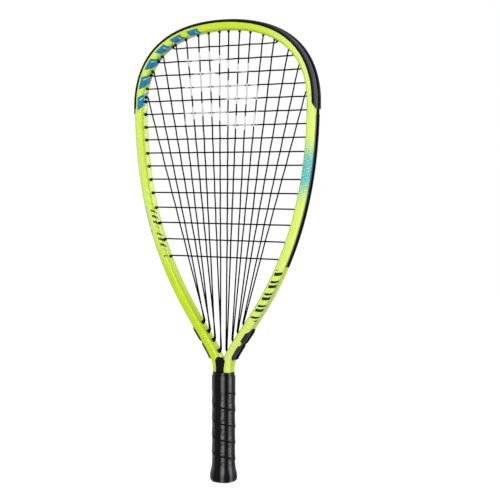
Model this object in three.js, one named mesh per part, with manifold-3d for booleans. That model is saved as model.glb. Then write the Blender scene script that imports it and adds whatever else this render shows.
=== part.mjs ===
import * as THREE from "three";
import { mergeVertices } from "three/addons/utils/BufferGeometryUtils.js";
import Module from "manifold-3d";

const wasm = await Module();
wasm.setup();

// A racquetball racket, in millimetres. X runs across the strings, the front
// faces -Y, and Z runs from the bottom of the butt cap, at the origin, to the
// top of the head. One tube runs from the handle up the left side, round the
// head and back down into the handle.

// Centre line of the tube: the head from its top down, the neck from the collar up.
const headTop = 551.8;
const headHalfWidth = 123;
const headWidestDrop = 94;
const neckRise = 5.5;
const legGap = 1;
const topReachShare = 0.949;
const shoulderReachShare = 0.248;
const sideReachShare = 0.669;
const neckReachShare = 0.115;

// Section of the tube in the head and the throat.
const tubeWidth = 12;
const tubeDepth = 16;
const tubeRadius = 4;
const tubeFacets = 2;
const grooveDepth = 3.6;

// Lengths along the tube that one flat facet may cover.
const headFacet = 14;
const legFacet = 26;

// Fits.
const clearance = 0.3;
const overrun = 2;
const weld = 0.0005;

// Strings: the first cross below the top of the head, the last one above the neck.
const stringDiameter = 1.3;
const stringSides = 5;
const weaveGap = 0.4;
const crossDrop = 24;
const crossRise = 133.7;
const crossShares = [
  0, 0.063, 0.126, 0.189, 0.25, 0.312, 0.374, 0.436, 0.501, 0.564, 0.629, 0.694, 0.766, 0.84, 0.919, 1,
];
const mainTopShares = [0.038, 0.13, 0.22, 0.33, 0.43, 0.575, 0.721, 0.925];
const stringTail = 6;
const laneStep = 8;

// Holes for the strings, with the eyelets that line them. The throat's are above the neck.
const borePlay = 1.4;
const pairPlay = 1.3;
const eyeletWall = 0.55;
const eyeletProtrusion = 2.2;
const eyeletTaperShare = 0.86;
const eyeletSides = 6;
const throatHoleRise = 19.4;
const throatHoleSpan = 33.6;
const throatHoleShares = [0, 0.32, 0.62, 1];

// Strips that carry the eyelets.
const stripBase = 1.1;
const stripSink = 0.6;
const stripEnd = 2.4;
const stripLip = 0.8;
const channelPlay = 0.35;
const bumperWall = 0.9;
const bumperTaper = 12;
const bumperEnd = 5;
const bumperCrosses = 6;
const lobeWall = 1.4;
const lobeEnd = 4;

// How far a guard wraps round the corner of the tube, as shares of a quarter turn.
const bumperWrapShare = 0.56;
const bumperTipShare = 0.08;
const lobeRunShares = [0, 0.17, 0.42, 0.47, 0.52, 0.65, 0.93, 1];
const lobeWrapShares = [0.08, 0.26, 0.26, 0.08, 0.08, 0.32, 0.32, 0.2];
const lobeWallShares = [0.5, 1, 1, 0.6, 0.6, 1, 1, 0.6];
const wrapFacets = 2;

// Bridge in the fork of the throat, above the neck.
const tongueWidth = 10.6;
const tongueRise = 13.4;
const tongueRadius = 3;
const tonguePlate = 1.2;
const webDrop = 3.5;
const webTip = 0.5;

// Handle.
const gripWidth = 26.6;
const gripDepth = 25.2;
const gripBevel = 7;
const gripThickness = 1.6;
const gripLength = 87.2;
const seamPitch = 19.8;
const seamDepth = 0.6;
const palletSplit = 0.3;
const palletSide = 2;
const palletCover = 2.9;
const legRadius = 4;
const legEase = 1.2;
const collarHeight = 24.2;
const collarStep = 4.2;
const collarInset = 1;
const collarLip = 1.6;
const capHeight = 23;
const capWidest = 11;
const capFlare = 2.4;
const capEdge = 8;
const capFacets = 3;
const capFloor = 3.6;
const cordHole = 7;
const cordHoleSides = 16;

// Heights, stacked up from the butt and down from the top of the head.
const gripBottom = capHeight + clearance;
const gripTop = gripBottom + gripLength;
const collarTop = gripTop + collarHeight;
const neckHeight = collarTop + neckRise;
const tongueTop = neckHeight + tongueRise;
const webTop = tongueTop - webDrop;
const throatHoleBottom = neckHeight + throatHoleRise;
const throatHoleTop = throatHoleBottom + throatHoleSpan;
const crossBottom = neckHeight + crossRise;
const crossTop = headTop - crossDrop;
const headWidestHeight = headTop - headWidestDrop;

// The pallet fills the grip, and the legs of the tube fill the pallet.
const palletInset = gripThickness + clearance;
const legWidth = gripWidth / 2 - palletInset - palletSide - clearance - legGap / 2;
const legDepth = gripDepth - 2 * (palletInset + palletCover + clearance);

// Eyelets, each round its own string or pair of strings.
const eyeletBore = stringDiameter + borePlay;
const eyeletDiameter = eyeletBore + 2 * eyeletWall;
const throatEyeletBore = 2 * stringDiameter + pairPlay;
const throatEyeletDiameter = throatEyeletBore + 2 * eyeletWall;

// Levels measured outwards from the centre line of the tube.
const faceLevel = tubeWidth / 2;
const grooveFloor = faceLevel - grooveDepth;
const baseLevel = grooveFloor + clearance;
const channelFloor = baseLevel + stripBase;
const laneLevel = channelFloor + clearance + stringDiameter / 2;
const seatLevel = faceLevel + clearance;
const rimLevel = -faceLevel - eyeletProtrusion;
const mouthLevel = rimLevel - clearance - stringDiameter / 2;

// Lanes that keep the strings apart, and half widths from the front to the back.
const weaveLift = (stringDiameter + weaveGap) / 2;
const boreLane = clearance;
const channelLane = boreLane + stringDiameter + clearance - borePlay / 2;
const pairLane = (stringDiameter + clearance) / 2;
const channelHalf = channelLane + stringDiameter / 2 + channelPlay;
const seatHalf = channelHalf + stripLip;
const grooveWidth = 2 * (seatHalf + clearance);
const flatHalf = tubeDepth / 2 - tubeRadius;

// Colours and finishes.
const lime = new THREE.MeshStandardMaterial({ color: 0xc8e632, roughness: 0.3, metalness: 0 });
const blackPlastic = new THREE.MeshStandardMaterial({ color: 0x17171a, roughness: 0.5, metalness: 0 });
const stringBlack = new THREE.MeshStandardMaterial({ color: 0x0c0c0e, roughness: 0.4, metalness: 0 });
const gripBlack = new THREE.MeshStandardMaterial({ color: 0x1b1b1d, roughness: 0.6, metalness: 0 });
const rubberBlack = new THREE.MeshStandardMaterial({ color: 0x121214, roughness: 0.55, metalness: 0 });
const foamGrey = new THREE.MeshStandardMaterial({ color: 0x3a3a3c, roughness: 0.9, metalness: 0 });

// Solids: turning a closed geometry into a solid that can be cut or joined, and back.
function solid(geometry) {
  const bare = geometry.index ? geometry.toNonIndexed() : geometry.clone();
  bare.deleteAttribute("normal");
  bare.deleteAttribute("uv");
  const merged = mergeVertices(bare, weld);
  return new wasm.Manifold(
    new wasm.Mesh({
      numProp: 3,
      vertProperties: merged.attributes.position.array,
      triVerts: new Uint32Array(merged.index.array),
    }),
  );
}

function geometryOf(body) {
  const mesh = body.getMesh();
  const geometry = new THREE.BufferGeometry();
  geometry.setAttribute("position", new THREE.BufferAttribute(mesh.vertProperties, 3));
  geometry.setIndex(new THREE.BufferAttribute(mesh.triVerts, 1));
  geometry.computeVertexNormals();
  return geometry;
}

// Outlines, anticlockwise.
function roundedBox(width, height, radius, facets) {
  const points = [];
  const corners = [[1, 1], [-1, 1], [-1, -1], [1, -1]];
  corners.forEach(([right, top], corner) => {
    for (let i = 0; i <= facets; i += 1) {
      const angle = ((corner + i / facets) * Math.PI) / 2;
      const x = right * (width / 2 - radius) + radius * Math.cos(angle);
      const y = top * (height / 2 - radius) + radius * Math.sin(angle);
      points.push(new THREE.Vector2(x, y));
    }
  });
  return points;
}

function octagon(width, height, bevel) {
  return roundedBox(width, height, bevel, 1);
}

// The outline of the grip, grown outwards on every side by an offset.
function gripOutline(offset) {
  const bevelGrowthShare = 2 - Math.SQRT2;
  const bevel = gripBevel + offset * bevelGrowthShare;
  return octagon(gripWidth + 2 * offset, gripDepth + 2 * offset, bevel);
}

// An outline that is the same on both sides, from its points on one side.
function mirrored(half) {
  const other = half.map(([level, across]) => [level, -across]).reverse();
  return [...half, ...other].map(([level, across]) => new THREE.Vector2(level, across));
}

// A closed solid through rings that all have the same number of points.
function loft(rings, firstOutline, lastOutline) {
  const sides = firstOutline.length;
  const faces = [];
  for (let ring = 0; ring < rings.length - 1; ring += 1) {
    for (let i = 0; i < sides; i += 1) {
      const here = ring * sides + i;
      const next = ring * sides + ((i + 1) % sides);
      faces.push([here, next, next + sides], [here, next + sides, here + sides]);
    }
  }
  const cap = (outline, start, turned) => {
    THREE.ShapeUtils.triangulateShape(outline, []).forEach(([a, b, c]) => {
      const left = THREE.ShapeUtils.area([outline[a], outline[b], outline[c]]) > 0;
      faces.push(left === turned ? [start + a, start + c, start + b] : [start + a, start + b, start + c]);
    });
  };
  cap(firstOutline, 0, true);
  cap(lastOutline, (rings.length - 1) * sides, false);

  const points = rings.flat();
  const volume = faces.reduce((sum, [a, b, c]) => {
    const area = new THREE.Vector3().crossVectors(points[b], points[c]);
    return sum + points[a].dot(area);
  }, 0);
  const outwards = volume > 0 ? faces : faces.map(([a, b, c]) => [a, c, b]);
  const geometry = new THREE.BufferGeometry().setFromPoints(points);
  geometry.setIndex(outwards.flat());
  return geometry;
}

// A loft of level outlines, each with its height.
function tower(levels) {
  const rings = levels.map(({ height, outline }) => outline.map((p) => new THREE.Vector3(p.x, p.y, height)));
  return loft(rings, levels[0].outline, levels[levels.length - 1].outline);
}

function prism(outline, bottom, top) {
  return tower([{ height: bottom, outline }, { height: top, outline }]);
}

// The centre line of the right half, from the top of the head down to the neck.
const neckX = (legGap + tubeWidth) / 2;
const shoulderHeight = headTop - headWidestHeight;
const sideHeight = headWidestHeight - neckHeight;
const halfLine = new THREE.CurvePath();
halfLine.add(
  new THREE.CubicBezierCurve(
    new THREE.Vector2(0, headTop),
    new THREE.Vector2(headHalfWidth * topReachShare, headTop),
    new THREE.Vector2(headHalfWidth, headWidestHeight + shoulderHeight * shoulderReachShare),
    new THREE.Vector2(headHalfWidth, headWidestHeight),
  ),
);
const shoulderRun = halfLine.getLength();
halfLine.add(
  new THREE.CubicBezierCurve(
    new THREE.Vector2(headHalfWidth, headWidestHeight),
    new THREE.Vector2(headHalfWidth, headWidestHeight - sideHeight * sideReachShare),
    new THREE.Vector2(neckX, neckHeight + sideHeight * neckReachShare),
    new THREE.Vector2(neckX, neckHeight),
  ),
);
halfLine.updateArcLengths();
const neckRun = halfLine.getLength();

// A place on the centre line by its run from the top, positive on the right.
function place(run) {
  const share = Math.min(Math.abs(run) / neckRun, 1);
  const hand = run < 0 ? -1 : 1;
  const point = halfLine.getPointAt(share);
  const along = halfLine.getTangentAt(share);
  return {
    origin: new THREE.Vector3(hand * point.x, 0, point.y),
    outward: new THREE.Vector3(-hand * along.y, 0, along.x),
  };
}

// A point beside that place: outwards by a level, and across by a lane.
function spot(run, level, lane) {
  const { origin, outward } = place(run);
  return new THREE.Vector3(0, lane, 0).addScaledVector(outward, level).add(origin);
}

// The run on the right half where points at a level come down to a height.
function runAtHeight(height, level) {
  let above = 0;
  let below = neckRun;
  while (below - above > weld) {
    const middle = (above + below) / 2;
    if (spot(middle, level, 0).z > height) above = middle;
    else below = middle;
  }
  return (above + below) / 2;
}

// Where the holes go, as runs on the right half.
const crossHeights = crossShares.map((share) => crossTop + (crossBottom - crossTop) * share);
const crossRuns = crossHeights.map((height) => runAtHeight(height, mouthLevel));
const mainRuns = mainTopShares.map((share) => shoulderRun * share);
const throatRuns = throatHoleShares.map((share) =>
  runAtHeight(throatHoleTop + (throatHoleBottom - throatHoleTop) * share, -faceLevel),
);

// Where the strips end, each a little past its last hole.
const bumperRun = crossRuns[bumperCrosses - 1] + bumperEnd;
const stripRun = crossRuns[crossRuns.length - 1] + stripEnd;
const lobeStart = throatRuns[0] - lobeEnd;
const lobeLength = throatRuns[throatRuns.length - 1] + lobeEnd - lobeStart;
const lobeRuns = lobeRunShares.map((share) => lobeStart + lobeLength * share);

// Equal steps between two runs, with both ends.
function steps(from, to, longest) {
  const count = Math.max(1, Math.ceil(Math.abs(to - from) / longest));
  return Array.from({ length: count + 1 }, (_, i) => from + ((to - from) * i) / count);
}

// Every facet of the head ends at one of these runs, on the tube and on what sits on it.
const facetRuns = [
  ...steps(0, bumperRun - bumperTaper, headFacet),
  ...steps(bumperRun - bumperTaper, bumperRun, bumperTaper / 2).slice(1),
  ...steps(bumperRun, stripRun, headFacet).slice(1),
  ...steps(stripRun, lobeStart, legFacet).slice(1),
  ...lobeRuns.slice(1),
  ...steps(lobeRuns[lobeRuns.length - 1], neckRun, headFacet / 2).slice(1),
];

function stretch(from, to) {
  const inner = facetRuns.filter((run) => run > from + clearance && run < to - clearance);
  return [from, ...inner, to];
}

function bothSides(runs) {
  const left = runs.slice(1).reverse();
  return [...left.map((run) => -run), ...runs];
}

// A loft along the centre line, with an outline for each run.
function along(runs, outlineAt) {
  const outlines = runs.map((run) => outlineAt(Math.abs(run)));
  const rings = runs.map((run, i) => outlines[i].map((p) => spot(run, p.x, p.y)));
  return loft(rings, outlines[0], outlines[outlines.length - 1]);
}

// A rod through the tube at a run, between two levels.
function rod(run, from, to, fromRadius, toRadius) {
  const geometry = new THREE.CylinderGeometry(toRadius, fromRadius, to - from, eyeletSides);
  const { origin, outward } = place(run);
  const turn = new THREE.Quaternion().setFromUnitVectors(new THREE.Vector3(0, 1, 0), outward);
  geometry.applyQuaternion(turn);
  const middle = origin.addScaledVector(outward, (from + to) / 2);
  geometry.translate(middle.x, middle.y, middle.z);
  return solid(geometry);
}

// One kind of hole for single strings and a wider one for the throat's pairs.
const single = { diameter: eyeletDiameter, bore: eyeletBore };
const paired = { diameter: throatEyeletDiameter, bore: throatEyeletBore };
const holes = [
  ...[...mainRuns, ...crossRuns].map((run) => ({ run, kind: single })),
  ...throatRuns.map((run) => ({ run, kind: paired })),
];
const allHoles = [...holes, ...holes.map(({ run, kind }) => ({ run: -run, kind }))];

// The frame: one tube with a stringing groove and drilled holes.
function makeFrame() {
  const headOutline = roundedBox(tubeWidth, tubeDepth, tubeRadius, tubeFacets);
  const legOutline = roundedBox(legWidth, legDepth, legRadius, tubeFacets);
  const legTop = collarTop + clearance;
  const legX = (legGap + legWidth) / 2;
  const lowerLeg = [
    { x: neckX, height: legTop + legEase, outline: headOutline },
    { x: legX, height: legTop, outline: legOutline },
    { x: legX, height: capFloor + 2 * clearance, outline: legOutline },
  ];
  const legRings = (hand) =>
    lowerLeg.map(({ x, height, outline }) =>
      outline.map((p) => new THREE.Vector3(hand * (x + p.x), p.y, height)),
    );
  const headRings = bothSides(facetRuns).map((run) => headOutline.map((p) => spot(run, p.x, p.y)));
  const rings = [...legRings(-1).reverse(), ...headRings, ...legRings(1)];
  let body = solid(loft(rings, legOutline, legOutline));

  const channel = mirrored([
    [grooveFloor, -grooveWidth / 2],
    [faceLevel + overrun, -grooveWidth / 2],
  ]);
  const throat = stretch(lobeStart - clearance, lobeStart + lobeLength + clearance);
  const grooves = [
    bothSides(stretch(0, stripRun + clearance)),
    throat,
    throat.map((run) => -run),
  ];
  const cuts = grooves.map((runs) => solid(along(runs, () => channel)));
  allHoles.forEach(({ run, kind }) => {
    const radius = kind.diameter / 2 + clearance / Math.cos(Math.PI / eyeletSides);
    cuts.push(rod(run, -faceLevel - overrun, faceLevel + overrun, radius, radius));
  });
  body = body.subtract(wasm.Manifold.union(cuts));
  return geometryOf(body);
}

// A strip that sits in the groove, with an eyelet for each hole it covers.
function makeStrip(runs, outlineAt) {
  const low = Math.min(...runs);
  const high = Math.max(...runs);
  const covered = allHoles.filter(({ run }) => run > low && run < high);
  const eyelets = covered.map(({ run, kind }) => {
    const radius = kind.diameter / 2;
    return rod(run, rimLevel, channelFloor - clearance, radius * eyeletTaperShare, radius);
  });
  const bores = covered.map(({ run, kind }) =>
    rod(run, rimLevel - overrun, channelFloor + overrun, kind.bore / 2, kind.bore / 2),
  );
  const strip = solid(along(runs, outlineAt));
  const body = wasm.Manifold.union([strip, ...eyelets]).subtract(wasm.Manifold.union(bores));
  return geometryOf(body);
}

function plainOutline() {
  return mirrored([
    [baseLevel, -seatHalf],
    [faceLevel - stripSink, -seatHalf],
    [faceLevel - stripSink, -channelHalf],
    [channelFloor, -channelHalf],
  ]);
}

// A guard whose wings wrap the corners of the tube, with one wall all over.
function guardOutline(wall, wrapShare) {
  const corner = (radius) =>
    Array.from({ length: wrapFacets + 1 }, (_, i) => {
      const angle = ((Math.PI / 2) * wrapShare * i) / wrapFacets;
      return [faceLevel - tubeRadius + radius * Math.cos(angle), -flatHalf - radius * Math.sin(angle)];
    });
  return mirrored([
    [baseLevel, -seatHalf],
    [seatLevel, -seatHalf],
    ...corner(tubeRadius + clearance),
    ...corner(tubeRadius + clearance + wall).reverse(),
    [seatLevel + wall, -channelHalf],
    [channelFloor, -channelHalf],
  ]);
}

// The bumper's wings taper off at both ends.
function bumperOutline(run) {
  const share = Math.min((bumperRun - run) / bumperTaper, 1);
  return guardOutline(bumperWall, bumperTipShare + (bumperWrapShare - bumperTipShare) * share);
}

// The throat pieces swell into two lobes.
function lobeOutline(run) {
  const nearest = lobeRuns.reduce((best, lobeRun, i) =>
    Math.abs(lobeRun - run) < Math.abs(lobeRuns[best] - run) ? i : best, 0);
  return guardOutline(lobeWall * lobeWallShares[nearest], lobeWrapShares[nearest]);
}

// The bed: straight mains from the head's holes to the throat's, level crosses between.
const mainEnds = mainRuns.map((run, i) => ({
  top: run,
  bottom: throatRuns[throatRuns.length - 1 - Math.floor(i / 2)],
}));
const mainCount = mainEnds.length;

// Mains are counted from left to right, and each has its side and its place from the middle.
const mains = Array.from({ length: 2 * mainCount }, (_, index) => {
  const hand = index < mainCount ? -1 : 1;
  const rank = hand < 0 ? mainCount - 1 - index : index - mainCount;
  const { top, bottom } = mainEnds[rank];
  return { index, hand, rank, topRun: hand * top, bottomRun: hand * bottom };
});

mains.forEach((main) => {
  const start = spot(main.topRun, mouthLevel, 0);
  const end = spot(main.bottomRun, mouthLevel, 0);
  main.xAt = (height) => start.x + ((end.x - start.x) * (start.z - height)) / (start.z - end.z);
  main.highest = start.z;
  main.lowest = end.z;
});

function weaveSide(mainIndex, crossIndex) {
  return (mainIndex + crossIndex) % 2 === 0 ? 1 : -1;
}

// Where a main and a cross meet inside the head, if they do.
function crossing(main, crossIndex) {
  const height = crossHeights[crossIndex];
  const reach = spot(crossRuns[crossIndex], mouthLevel, 0).x - stringDiameter;
  const inReach = height < main.highest - stringDiameter && height > main.lowest + stringDiameter;
  return inReach && Math.abs(main.xAt(height)) < reach;
}

// Points of a main from top to bottom, from lane to lane.
function mainPoints(main, pairSide) {
  const points = [
    spot(main.topRun, laneLevel, boreLane),
    spot(main.topRun, mouthLevel, boreLane),
  ];
  crossHeights.forEach((height, i) => {
    if (crossing(main, i)) {
      points.push(new THREE.Vector3(main.xAt(height), weaveLift * weaveSide(main.index, i), height));
    }
  });
  points.push(spot(main.bottomRun, mouthLevel, pairLane * pairSide));
  points.push(spot(main.bottomRun, laneLevel, pairLane * pairSide));
  return points;
}

function crossPoints(crossIndex) {
  const run = crossRuns[crossIndex];
  const height = crossHeights[crossIndex];
  const met = mains.filter((main) => crossing(main, crossIndex));
  return [
    spot(-run, laneLevel, -boreLane),
    spot(-run, mouthLevel, -boreLane),
    ...met.map(
      (main) => new THREE.Vector3(main.xAt(height), -weaveLift * weaveSide(main.index, crossIndex), height),
    ),
    spot(run, mouthLevel, -boreLane),
    spot(run, laneLevel, -boreLane),
  ];
}

// A stretch of string in the outer channel, without its two ends.
function channelPoints(from, to, lane) {
  return steps(from, to, laneStep)
    .slice(1, -1)
    .map((run) => spot(run, laneLevel, lane));
}

// The mains are one string: it comes down the outermost main on the left and
// works inwards, taking turns between neighbouring pairs, then mirrors that on
// the right. A share of its way is named by side, place from the middle and lane.
const leftOrder = [
  { rank: 8, lane: 1 },
  { rank: 6, lane: 1 },
  { rank: 7, lane: -1 },
  { rank: 5, lane: -1 },
  { rank: 4, lane: 1 },
  { rank: 2, lane: 1 },
  { rank: 3, lane: -1 },
  { rank: 1, lane: -1 },
];

function mainStringPoints() {
  const order = [
    ...leftOrder.map((step) => ({ ...step, hand: -1 })),
    ...[...leftOrder].reverse().map((step) => ({ ...step, hand: 1 })),
  ];
  const points = [];
  order.forEach(({ rank, lane, hand }, i) => {
    const main = mains.find((each) => each.hand === hand && each.rank === rank - 1);
    const down = i % 2 === 0;
    const run = down ? main.topRun : main.bottomRun;
    if (i === 0) {
      points.push(spot(run + stringTail, laneLevel, channelLane));
    } else {
      const last = mains.find((each) => each.hand === order[i - 1].hand && each.rank === order[i - 1].rank - 1);
      const from = down ? last.topRun : last.bottomRun;
      points.push(...channelPoints(from, run, down ? channelLane : pairLane * lane));
    }
    const way = mainPoints(main, lane);
    points.push(...(down ? way : way.reverse()));
  });
  const end = mains[mains.length - 1].topRun;
  points.push(spot(end - stringTail, laneLevel, channelLane));
  return points;
}

// The crosses are the other string, a snake from the top to the bottom.
function crossStringPoints() {
  const points = [spot(-crossRuns[0] + stringTail, laneLevel, -channelLane)];
  crossRuns.forEach((run, i) => {
    const rightwards = i % 2 === 0;
    const hand = rightwards ? -1 : 1;
    if (i > 0) points.push(...channelPoints(hand * crossRuns[i - 1], hand * run, -channelLane));
    const way = crossPoints(i);
    points.push(...(rightwards ? way : way.reverse()));
  });
  const lastHand = crossRuns.length % 2 === 0 ? -1 : 1;
  const lastRun = crossRuns[crossRuns.length - 1];
  points.push(spot(lastHand * (lastRun + stripEnd / 2), laneLevel, -boreLane));
  return points;
}

// A round string through points, with mitred bends.
function stringGeometry(points, diameter, sides) {
  const radius = diameter / 2;
  const directions = points.slice(1).map((p, i) => p.clone().sub(points[i]).normalize());
  const reference = new THREE.Vector3(0, 1, 0);
  const first = new THREE.Vector3().crossVectors(directions[0], reference).normalize();
  const second = new THREE.Vector3().crossVectors(directions[0], first);
  const outline = Array.from({ length: sides }, (_, i) => {
    const angle = (2 * Math.PI * i) / sides;
    return new THREE.Vector2(radius * Math.cos(angle), radius * Math.sin(angle));
  });
  const rings = points.map((point, i) => {
    const into = directions[Math.max(i - 1, 0)];
    const out = directions[Math.min(i, directions.length - 1)];
    const bisector = into.clone().add(out).normalize();
    const ring = outline.map((p) => {
      const offset = first.clone().multiplyScalar(p.x).addScaledVector(second, p.y);
      const slide = -offset.dot(bisector) / into.dot(bisector);
      return offset.addScaledVector(into, slide).add(point);
    });
    const turn = new THREE.Quaternion().setFromUnitVectors(into, out);
    first.applyQuaternion(turn);
    second.applyQuaternion(turn);
    return ring;
  });
  return loft(rings, outline, outline);
}

// The bridge: a web in the fork between two tongues, on the front and the back of the legs.
function makeBridge() {
  const edge = -faceLevel - clearance;
  const bottomRun = runAtHeight(neckHeight, edge);
  const webRuns = steps(runAtHeight(webTop, edge), bottomRun, laneStep / 4);
  const right = webRuns.map((run) => spot(run, edge, 0)).filter((p) => p.x > webTip);
  const left = right.map((p) => new THREE.Vector3(-p.x, 0, p.z)).reverse();
  const webShape = new THREE.Shape([...right, ...left].map((p) => new THREE.Vector2(p.x, p.z)));
  const half = tubeDepth / 2 + clearance;
  const webDepth = 2 * half + tonguePlate;
  const web = new THREE.ExtrudeGeometry(webShape, { depth: webDepth, bevelEnabled: false });
  web.translate(0, 0, -webDepth / 2);
  web.rotateX(Math.PI / 2);

  const tongue = new THREE.Shape();
  const bottom = collarTop + clearance;
  const shoulder = tongueTop - tongueRadius;
  const corner = tongueWidth / 2 - tongueRadius;
  tongue.moveTo(-tongueWidth / 2, bottom);
  tongue.lineTo(tongueWidth / 2, bottom);
  tongue.lineTo(tongueWidth / 2, shoulder);
  tongue.absarc(corner, shoulder, tongueRadius, 0, Math.PI / 2, false);
  tongue.absarc(-corner, shoulder, tongueRadius, Math.PI / 2, Math.PI, false);
  tongue.closePath();
  const plates = [-half - tonguePlate, half].map((y) => {
    const plate = new THREE.ExtrudeGeometry(tongue, {
      depth: tonguePlate,
      bevelEnabled: false,
      curveSegments: 5,
    });
    plate.rotateX(Math.PI / 2);
    plate.translate(0, y + tonguePlate, 0);
    return solid(plate);
  });
  return geometryOf(wasm.Manifold.union([solid(web), ...plates]));
}

// The outline that clears both legs in the handle.
function legsPocket() {
  const width = legGap + 2 * legWidth + 2 * clearance;
  const depth = legDepth + 2 * clearance;
  return roundedBox(width, depth, legRadius + clearance, tubeFacets);
}

// One half of the pallet that fills the handle round the legs.
function makePallet(hand) {
  const outer = gripOutline(-palletInset);
  const bottom = capFloor + clearance;
  const top = collarTop - collarLip - clearance;
  const core = solid(prism(outer, bottom, top)).subtract(
    solid(prism(legsPocket(), bottom - overrun, top + overrun)),
  );
  const away = new THREE.BoxGeometry(2 * gripWidth, gripDepth, 2 * collarTop);
  away.translate(0, hand * (gripDepth / 2 - palletSplit / 2), 0);
  return geometryOf(core.subtract(solid(away)));
}

// The wrapped grip: a sleeve with the seam of the tape cut into it as one spiral.
function makeGrip() {
  const sleeve = solid(prism(gripOutline(0), gripBottom, gripTop)).subtract(
    solid(prism(gripOutline(-gripThickness), gripBottom - overrun, gripTop + overrun)),
  );
  const corners = gripOutline(0);
  const lengths = corners.map((p, i) => p.distanceTo(corners[(i + 1) % corners.length]));
  const round = lengths.reduce((sum, length) => sum + length, 0);
  const turns = Math.ceil(gripLength / seamPitch) + 1;
  const points = [];
  let travelled = 0;
  for (let i = 0; i <= turns * corners.length; i += 1) {
    const corner = corners[i % corners.length];
    const height = gripTop + seamPitch / 2 - (seamPitch * travelled) / round;
    points.push(new THREE.Vector3(corner.x, corner.y, height));
    travelled += lengths[i % corners.length];
  }
  const seam = solid(stringGeometry(points, 2 * seamDepth, 4));
  return geometryOf(sleeve.subtract(seam));
}

// The rubber collar: a sleeve above the grip that turns in over the pallet at its top.
function makeCollar() {
  const bottom = gripTop + clearance;
  const outer = tower([
    { height: bottom, outline: gripOutline(0) },
    { height: collarTop - collarStep, outline: gripOutline(0) },
    { height: collarTop - collarStep, outline: gripOutline(-collarInset) },
    { height: collarTop, outline: gripOutline(-collarInset) },
  ]);
  const body = solid(outer)
    .subtract(solid(prism(gripOutline(-gripThickness), bottom - overrun, collarTop - collarLip)))
    .subtract(solid(prism(legsPocket(), bottom, collarTop + overrun)));
  return geometryOf(body);
}

// The butt cap: a flared cup with a hole for a wrist cord in its floor.
function makeCap() {
  const edge = Array.from({ length: capFacets + 1 }, (_, i) => {
    const angle = (Math.PI / 2) * (1 - i / capFacets);
    const inset = capEdge * (1 - Math.cos(angle));
    return { height: capEdge * (1 - Math.sin(angle)), outline: gripOutline(capFlare - inset) };
  });
  const outer = tower([
    ...edge,
    { height: capWidest, outline: gripOutline(capFlare) },
    { height: capHeight, outline: gripOutline(0) },
  ]);
  const hole = new THREE.CylinderGeometry(cordHole / 2, cordHole / 2, capFloor + 2 * overrun, cordHoleSides);
  hole.rotateX(Math.PI / 2);
  hole.translate(0, 0, capFloor / 2);
  const body = solid(outer)
    .subtract(solid(prism(gripOutline(-gripThickness), capFloor, capHeight + overrun)))
    .subtract(solid(hole));
  return geometryOf(body);
}

const racket = new THREE.Group();

function add(name, geometry, material) {
  const mesh = new THREE.Mesh(geometry, material);
  mesh.name = name;
  racket.add(mesh);
}

add("frame", makeFrame(), lime);
add("bumper_guard", makeStrip(bothSides(stretch(0, bumperRun - clearance / 2)), bumperOutline), blackPlastic);
const sideRuns = stretch(bumperRun + clearance / 2, stripRun);
add("grommet_strip_right", makeStrip(sideRuns, plainOutline), blackPlastic);
add("grommet_strip_left", makeStrip(sideRuns.map((run) => -run), plainOutline), blackPlastic);
add("throat_grommet_right", makeStrip(lobeRuns, lobeOutline), blackPlastic);
add("throat_grommet_left", makeStrip(lobeRuns.map((run) => -run), lobeOutline), blackPlastic);
add("throat_bridge", makeBridge(), blackPlastic);
add("main_string", stringGeometry(mainStringPoints(), stringDiameter, stringSides), stringBlack);
add("cross_string", stringGeometry(crossStringPoints(), stringDiameter, stringSides), stringBlack);
add("pallet_front", makePallet(1), foamGrey);
add("pallet_back", makePallet(-1), foamGrey);
add("grip_wrap", makeGrip(), gripBlack);
add("grip_collar", makeCollar(), rubberBlack);
add("butt_cap", makeCap(), rubberBlack);

export default racket;
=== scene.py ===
"""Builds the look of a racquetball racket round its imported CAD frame.

The pieces that lie along the tube are modelled straight, as a bar laid out
flat, and are then bent round the head with one Curve modifier. In that straight
form X is the run along the tube from the top of the head, positive on the
right, Y is the level outwards from the tube's centre line, and Z points to the
front of the racket.
"""

import math
from contextlib import contextmanager

import bmesh
import bpy
from bpy.props import FloatProperty, FloatVectorProperty, IntProperty, PointerProperty
from mathutils import Matrix, Vector
from mathutils.geometry import interpolate_bezier


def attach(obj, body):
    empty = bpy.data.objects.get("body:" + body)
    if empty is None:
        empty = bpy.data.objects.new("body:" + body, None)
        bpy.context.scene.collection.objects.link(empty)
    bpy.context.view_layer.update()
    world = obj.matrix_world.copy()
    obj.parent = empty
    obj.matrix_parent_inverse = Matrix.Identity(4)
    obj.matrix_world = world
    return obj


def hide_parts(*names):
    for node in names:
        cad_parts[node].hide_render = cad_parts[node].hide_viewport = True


bl_info = {
    "name": "Racquetball Racket",
    "version": (1, 0, 0),
    "blender": (4, 5, 0),
    "location": "3D View > Sidebar > Racket",
    "description": "Models a strung racquetball racket piece by piece",
    "category": "Object",
}

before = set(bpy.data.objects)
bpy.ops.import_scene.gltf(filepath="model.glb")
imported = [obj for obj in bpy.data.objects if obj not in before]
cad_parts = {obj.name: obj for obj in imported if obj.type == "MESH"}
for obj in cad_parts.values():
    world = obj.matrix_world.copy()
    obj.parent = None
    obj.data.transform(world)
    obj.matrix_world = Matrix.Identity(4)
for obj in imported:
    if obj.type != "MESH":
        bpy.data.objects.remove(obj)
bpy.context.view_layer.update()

MM = 0.001
# Places closer together than this are taken as one.
TOUCH = 1e-6

# Shares of the way between the first and the last cross string.
CROSS_SHARES = (
    0, 0.063, 0.126, 0.189, 0.25, 0.312, 0.374, 0.436,
    0.501, 0.564, 0.629, 0.694, 0.766, 0.84, 0.919, 1,
)
# Shares of the run from the top of the head to its widest point.
MAIN_TOP_SHARES = (0.038, 0.13, 0.22, 0.33, 0.43, 0.575, 0.721, 0.925)
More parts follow.
